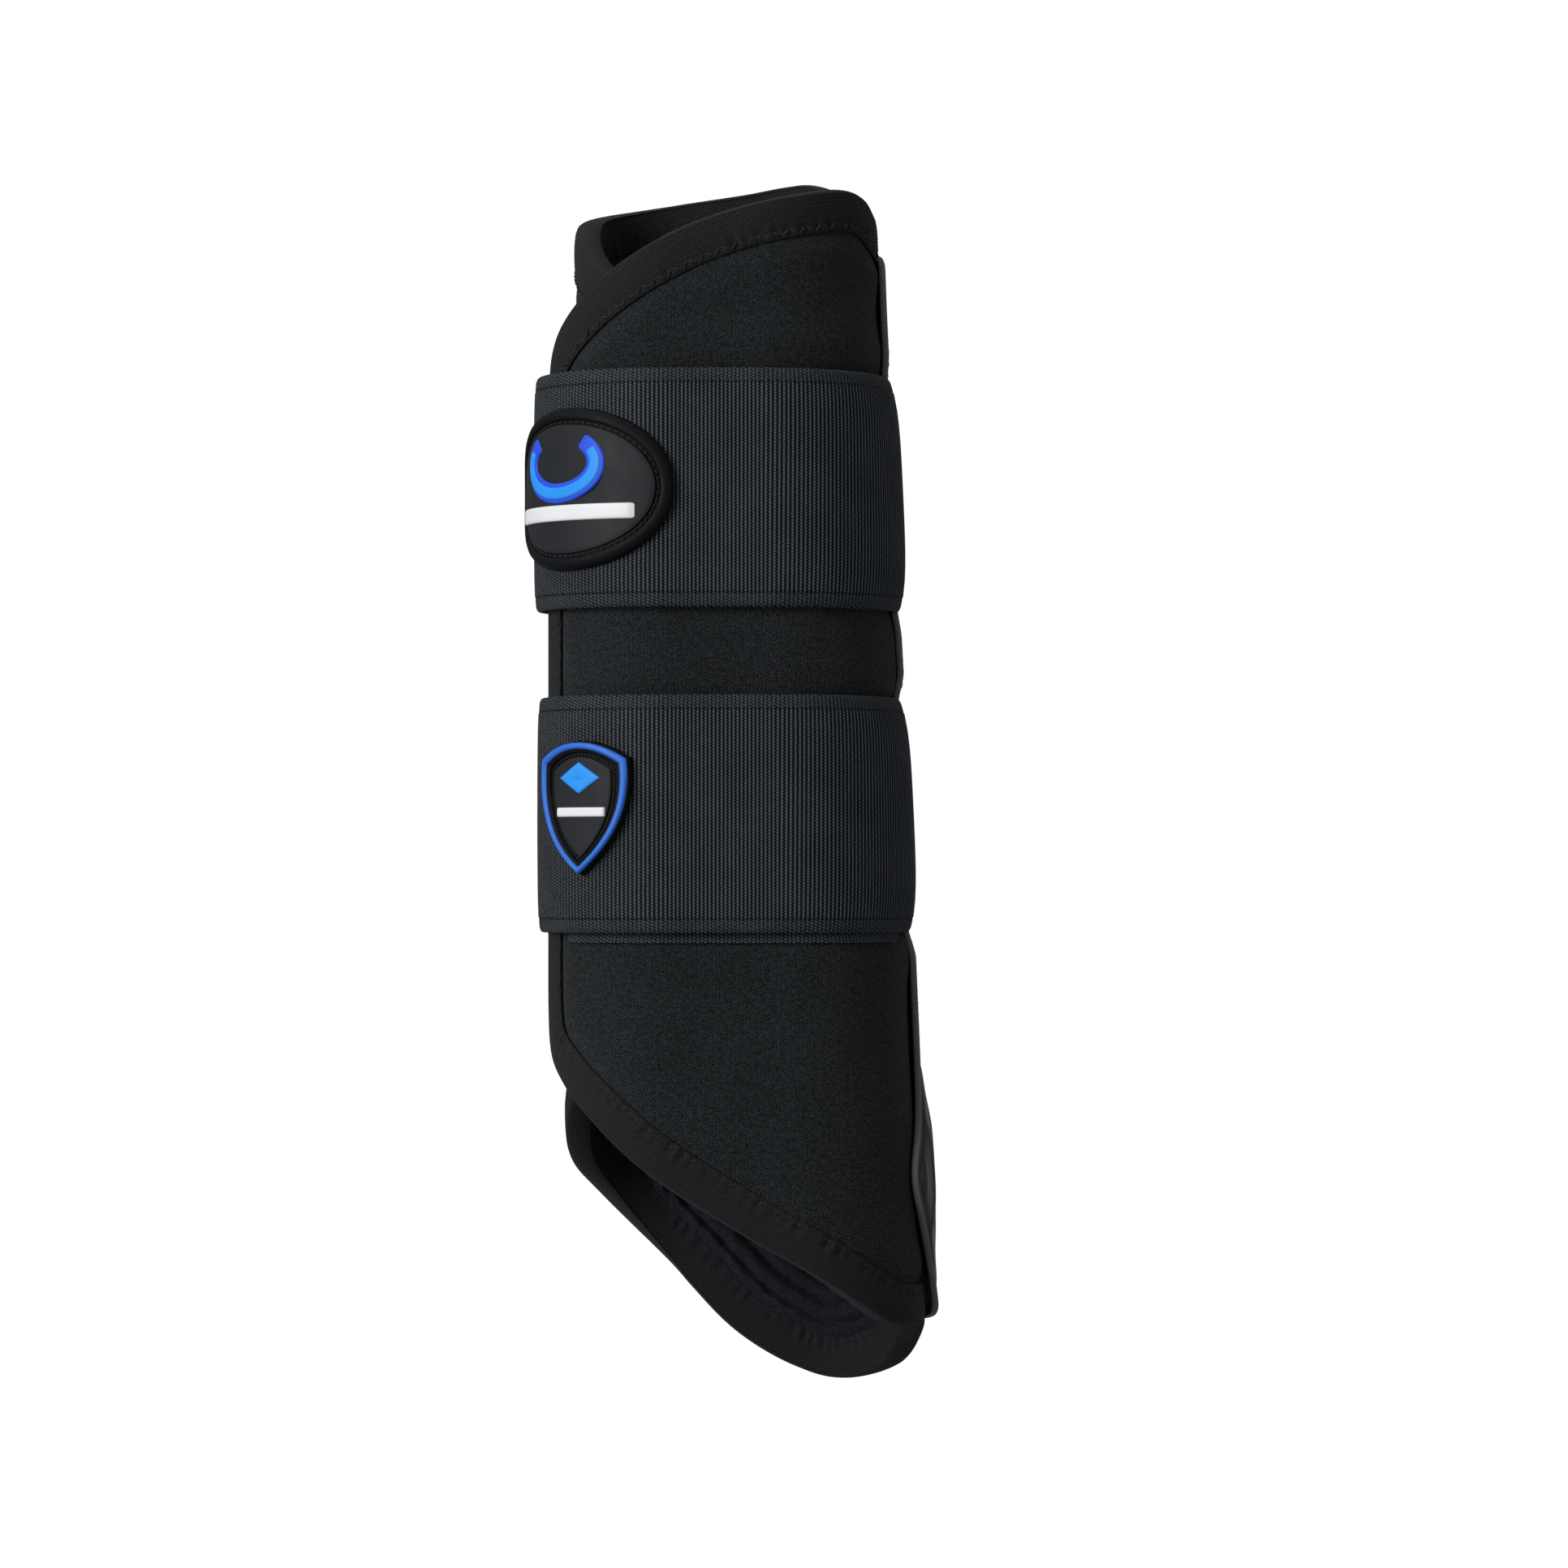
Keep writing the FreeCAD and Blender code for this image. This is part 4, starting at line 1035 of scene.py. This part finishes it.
def bowed(start, end, bow, count):
    """Points of an arc from start to end that bows out to its right by bow, without the end point."""
    chord = end - start
    t = np.linspace(0, 1, count, endpoint=False)[:, None]
    out = np.array([chord[1], -chord[0]]) / np.linalg.norm(chord)
    return start + chord * t + out * bow * 4 * t * (1 - t)


shield = np.vstack([bowed(point, corner_right, 4.3, 70), bowed(corner_right, corner_left, 4.4, 70),
                    bowed(corner_left, point, 4.3, 70)]) * mm
shield[:, 0] += arch_middle[0]
shield_halves = (12.0 * mm, 17.0 * mm)
badge_kinds = (("upper", oval, oval_middle, oval_halves), ("lower", shield, arch_middle, shield_halves))
for which, outline, middle, halves in badge_kinds:
    body = which + "_strap"
    case = moulded(which + "_badge_moulding", outline, middle, halves, body_profile, black_rubber)
    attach(case, body)
    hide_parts(which + "_badge")
    plate = moulded(which + "_badge_plate", outline, middle, halves, plate_profile, plate_rubber)
    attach(plate, body)
    ring = middle + (outline - middle) * (1 - 3.6 * mm / np.array(halves))
    ring = even(np.vstack([ring, ring[:1]]), int(len(ring) / 3))[:-1]
    heading = np.roll(ring, -1, 0) - np.roll(ring, 1, 0)
    heading /= np.linalg.norm(heading, axis=1, keepdims=True)
    lift = np.full(len(ring), badge_base + 1.75 * mm)
    centre, along, out = on_skin(outer_half, ring[:, 0], ring[:, 1], lift, heading[:, 0], heading[:, 1])
    spacing = np.linalg.norm(ring[1] - ring[0])
    sewing = stitches(which + "_groove_stitching", centre, along, out, spacing * 0.8, 0.28 * mm,
                      thread_finish, 0.2)
    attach(sewing, body)
    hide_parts(which + "_badge_stitching")

plate_face = badge_base + 2.15 * mm
bend = np.radians(np.linspace(-138, 138, 90))
shoe_line = np.stack([22 * mm + 10.6 * mm * np.sin(bend),
                      oval_middle[1] + 6.4 * mm - 7.4 * mm * np.cos(bend)], -1)
shoe_width = (4.0 + 1.0 * np.cos(bend / 2) ** 2) * mm
shoe = ribbon("upper_horseshoe", shoe_line, shoe_width, plate_face, plate_face + 0.45 * mm, royal_blue)
inlay = ribbon("upper_horseshoe_inlay", shoe_line[6:-6], shoe_width[6:-6] * 0.58, plate_face + 0.3 * mm,
               plate_face + 0.75 * mm, light_blue)
bar_line = np.stack([np.linspace(3, 41.5, 60) * mm, np.full(60, oval_middle[1] - 6.0 * mm)], -1)
bar = ribbon("upper_white_bar", bar_line, np.full(60, 4.0 * mm), plate_face, plate_face + 0.5 * mm,
             white_rubber)
for piece in (shoe, inlay, bar):
    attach(piece, "upper_strap")
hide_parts("upper_emblem")
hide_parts("upper_badge_bar")

rim_profile = [(0.5, 2.2), (0.55, 2.9), (0.95, 3.25), (1.6, 3.25), (2.05, 2.9), (2.15, 2.2)]
mid_blue = rubber("mid_blue_rubber", (0.025, 0.14, 0.60), (0.04, 0.20, 0.80), 0.45, 0.3)
rim = moulded("lower_blue_rim", shield, arch_middle, shield_halves, rim_profile, mid_blue,
              closed_ring=True)
diamond_turns = np.linspace(0, 2 * math.pi, 120, endpoint=False)
square = np.abs(np.cos(diamond_turns)) + np.abs(np.sin(diamond_turns))
diamond_middle = arch_middle + np.array([0, 7.0 * mm])
diamond_halves = (5.4 * mm, 4.0 * mm)
round_turn = np.stack([np.cos(diamond_turns), np.sin(diamond_turns)], -1)
diamond = diamond_middle + round_turn / square[:, None] * diamond_halves
diamond_profile = [(10, 2.0), (0, 2.0), (0.1, 2.5), (0.4, 2.65), (1.5, 2.65), (2.5, 2.65), (10, 2.65)]
gem = moulded("lower_diamond", diamond, diamond_middle, diamond_halves, diamond_profile, light_blue)
bar_line = np.stack([arch_middle[0] + np.linspace(-6.5, 6.5, 40) * mm,
                     np.full(40, arch_middle[1] - 1.6 * mm)], -1)
bar = ribbon("lower_white_bar", bar_line, np.full(40, 2.4 * mm), plate_face, plate_face + 0.5 * mm,
             white_rubber)
for piece in (rim, gem, bar):
    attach(piece, "lower_strap")
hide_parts("lower_badge_rim")
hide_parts("lower_emblem")
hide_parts("lower_badge_bar")

low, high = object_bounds()
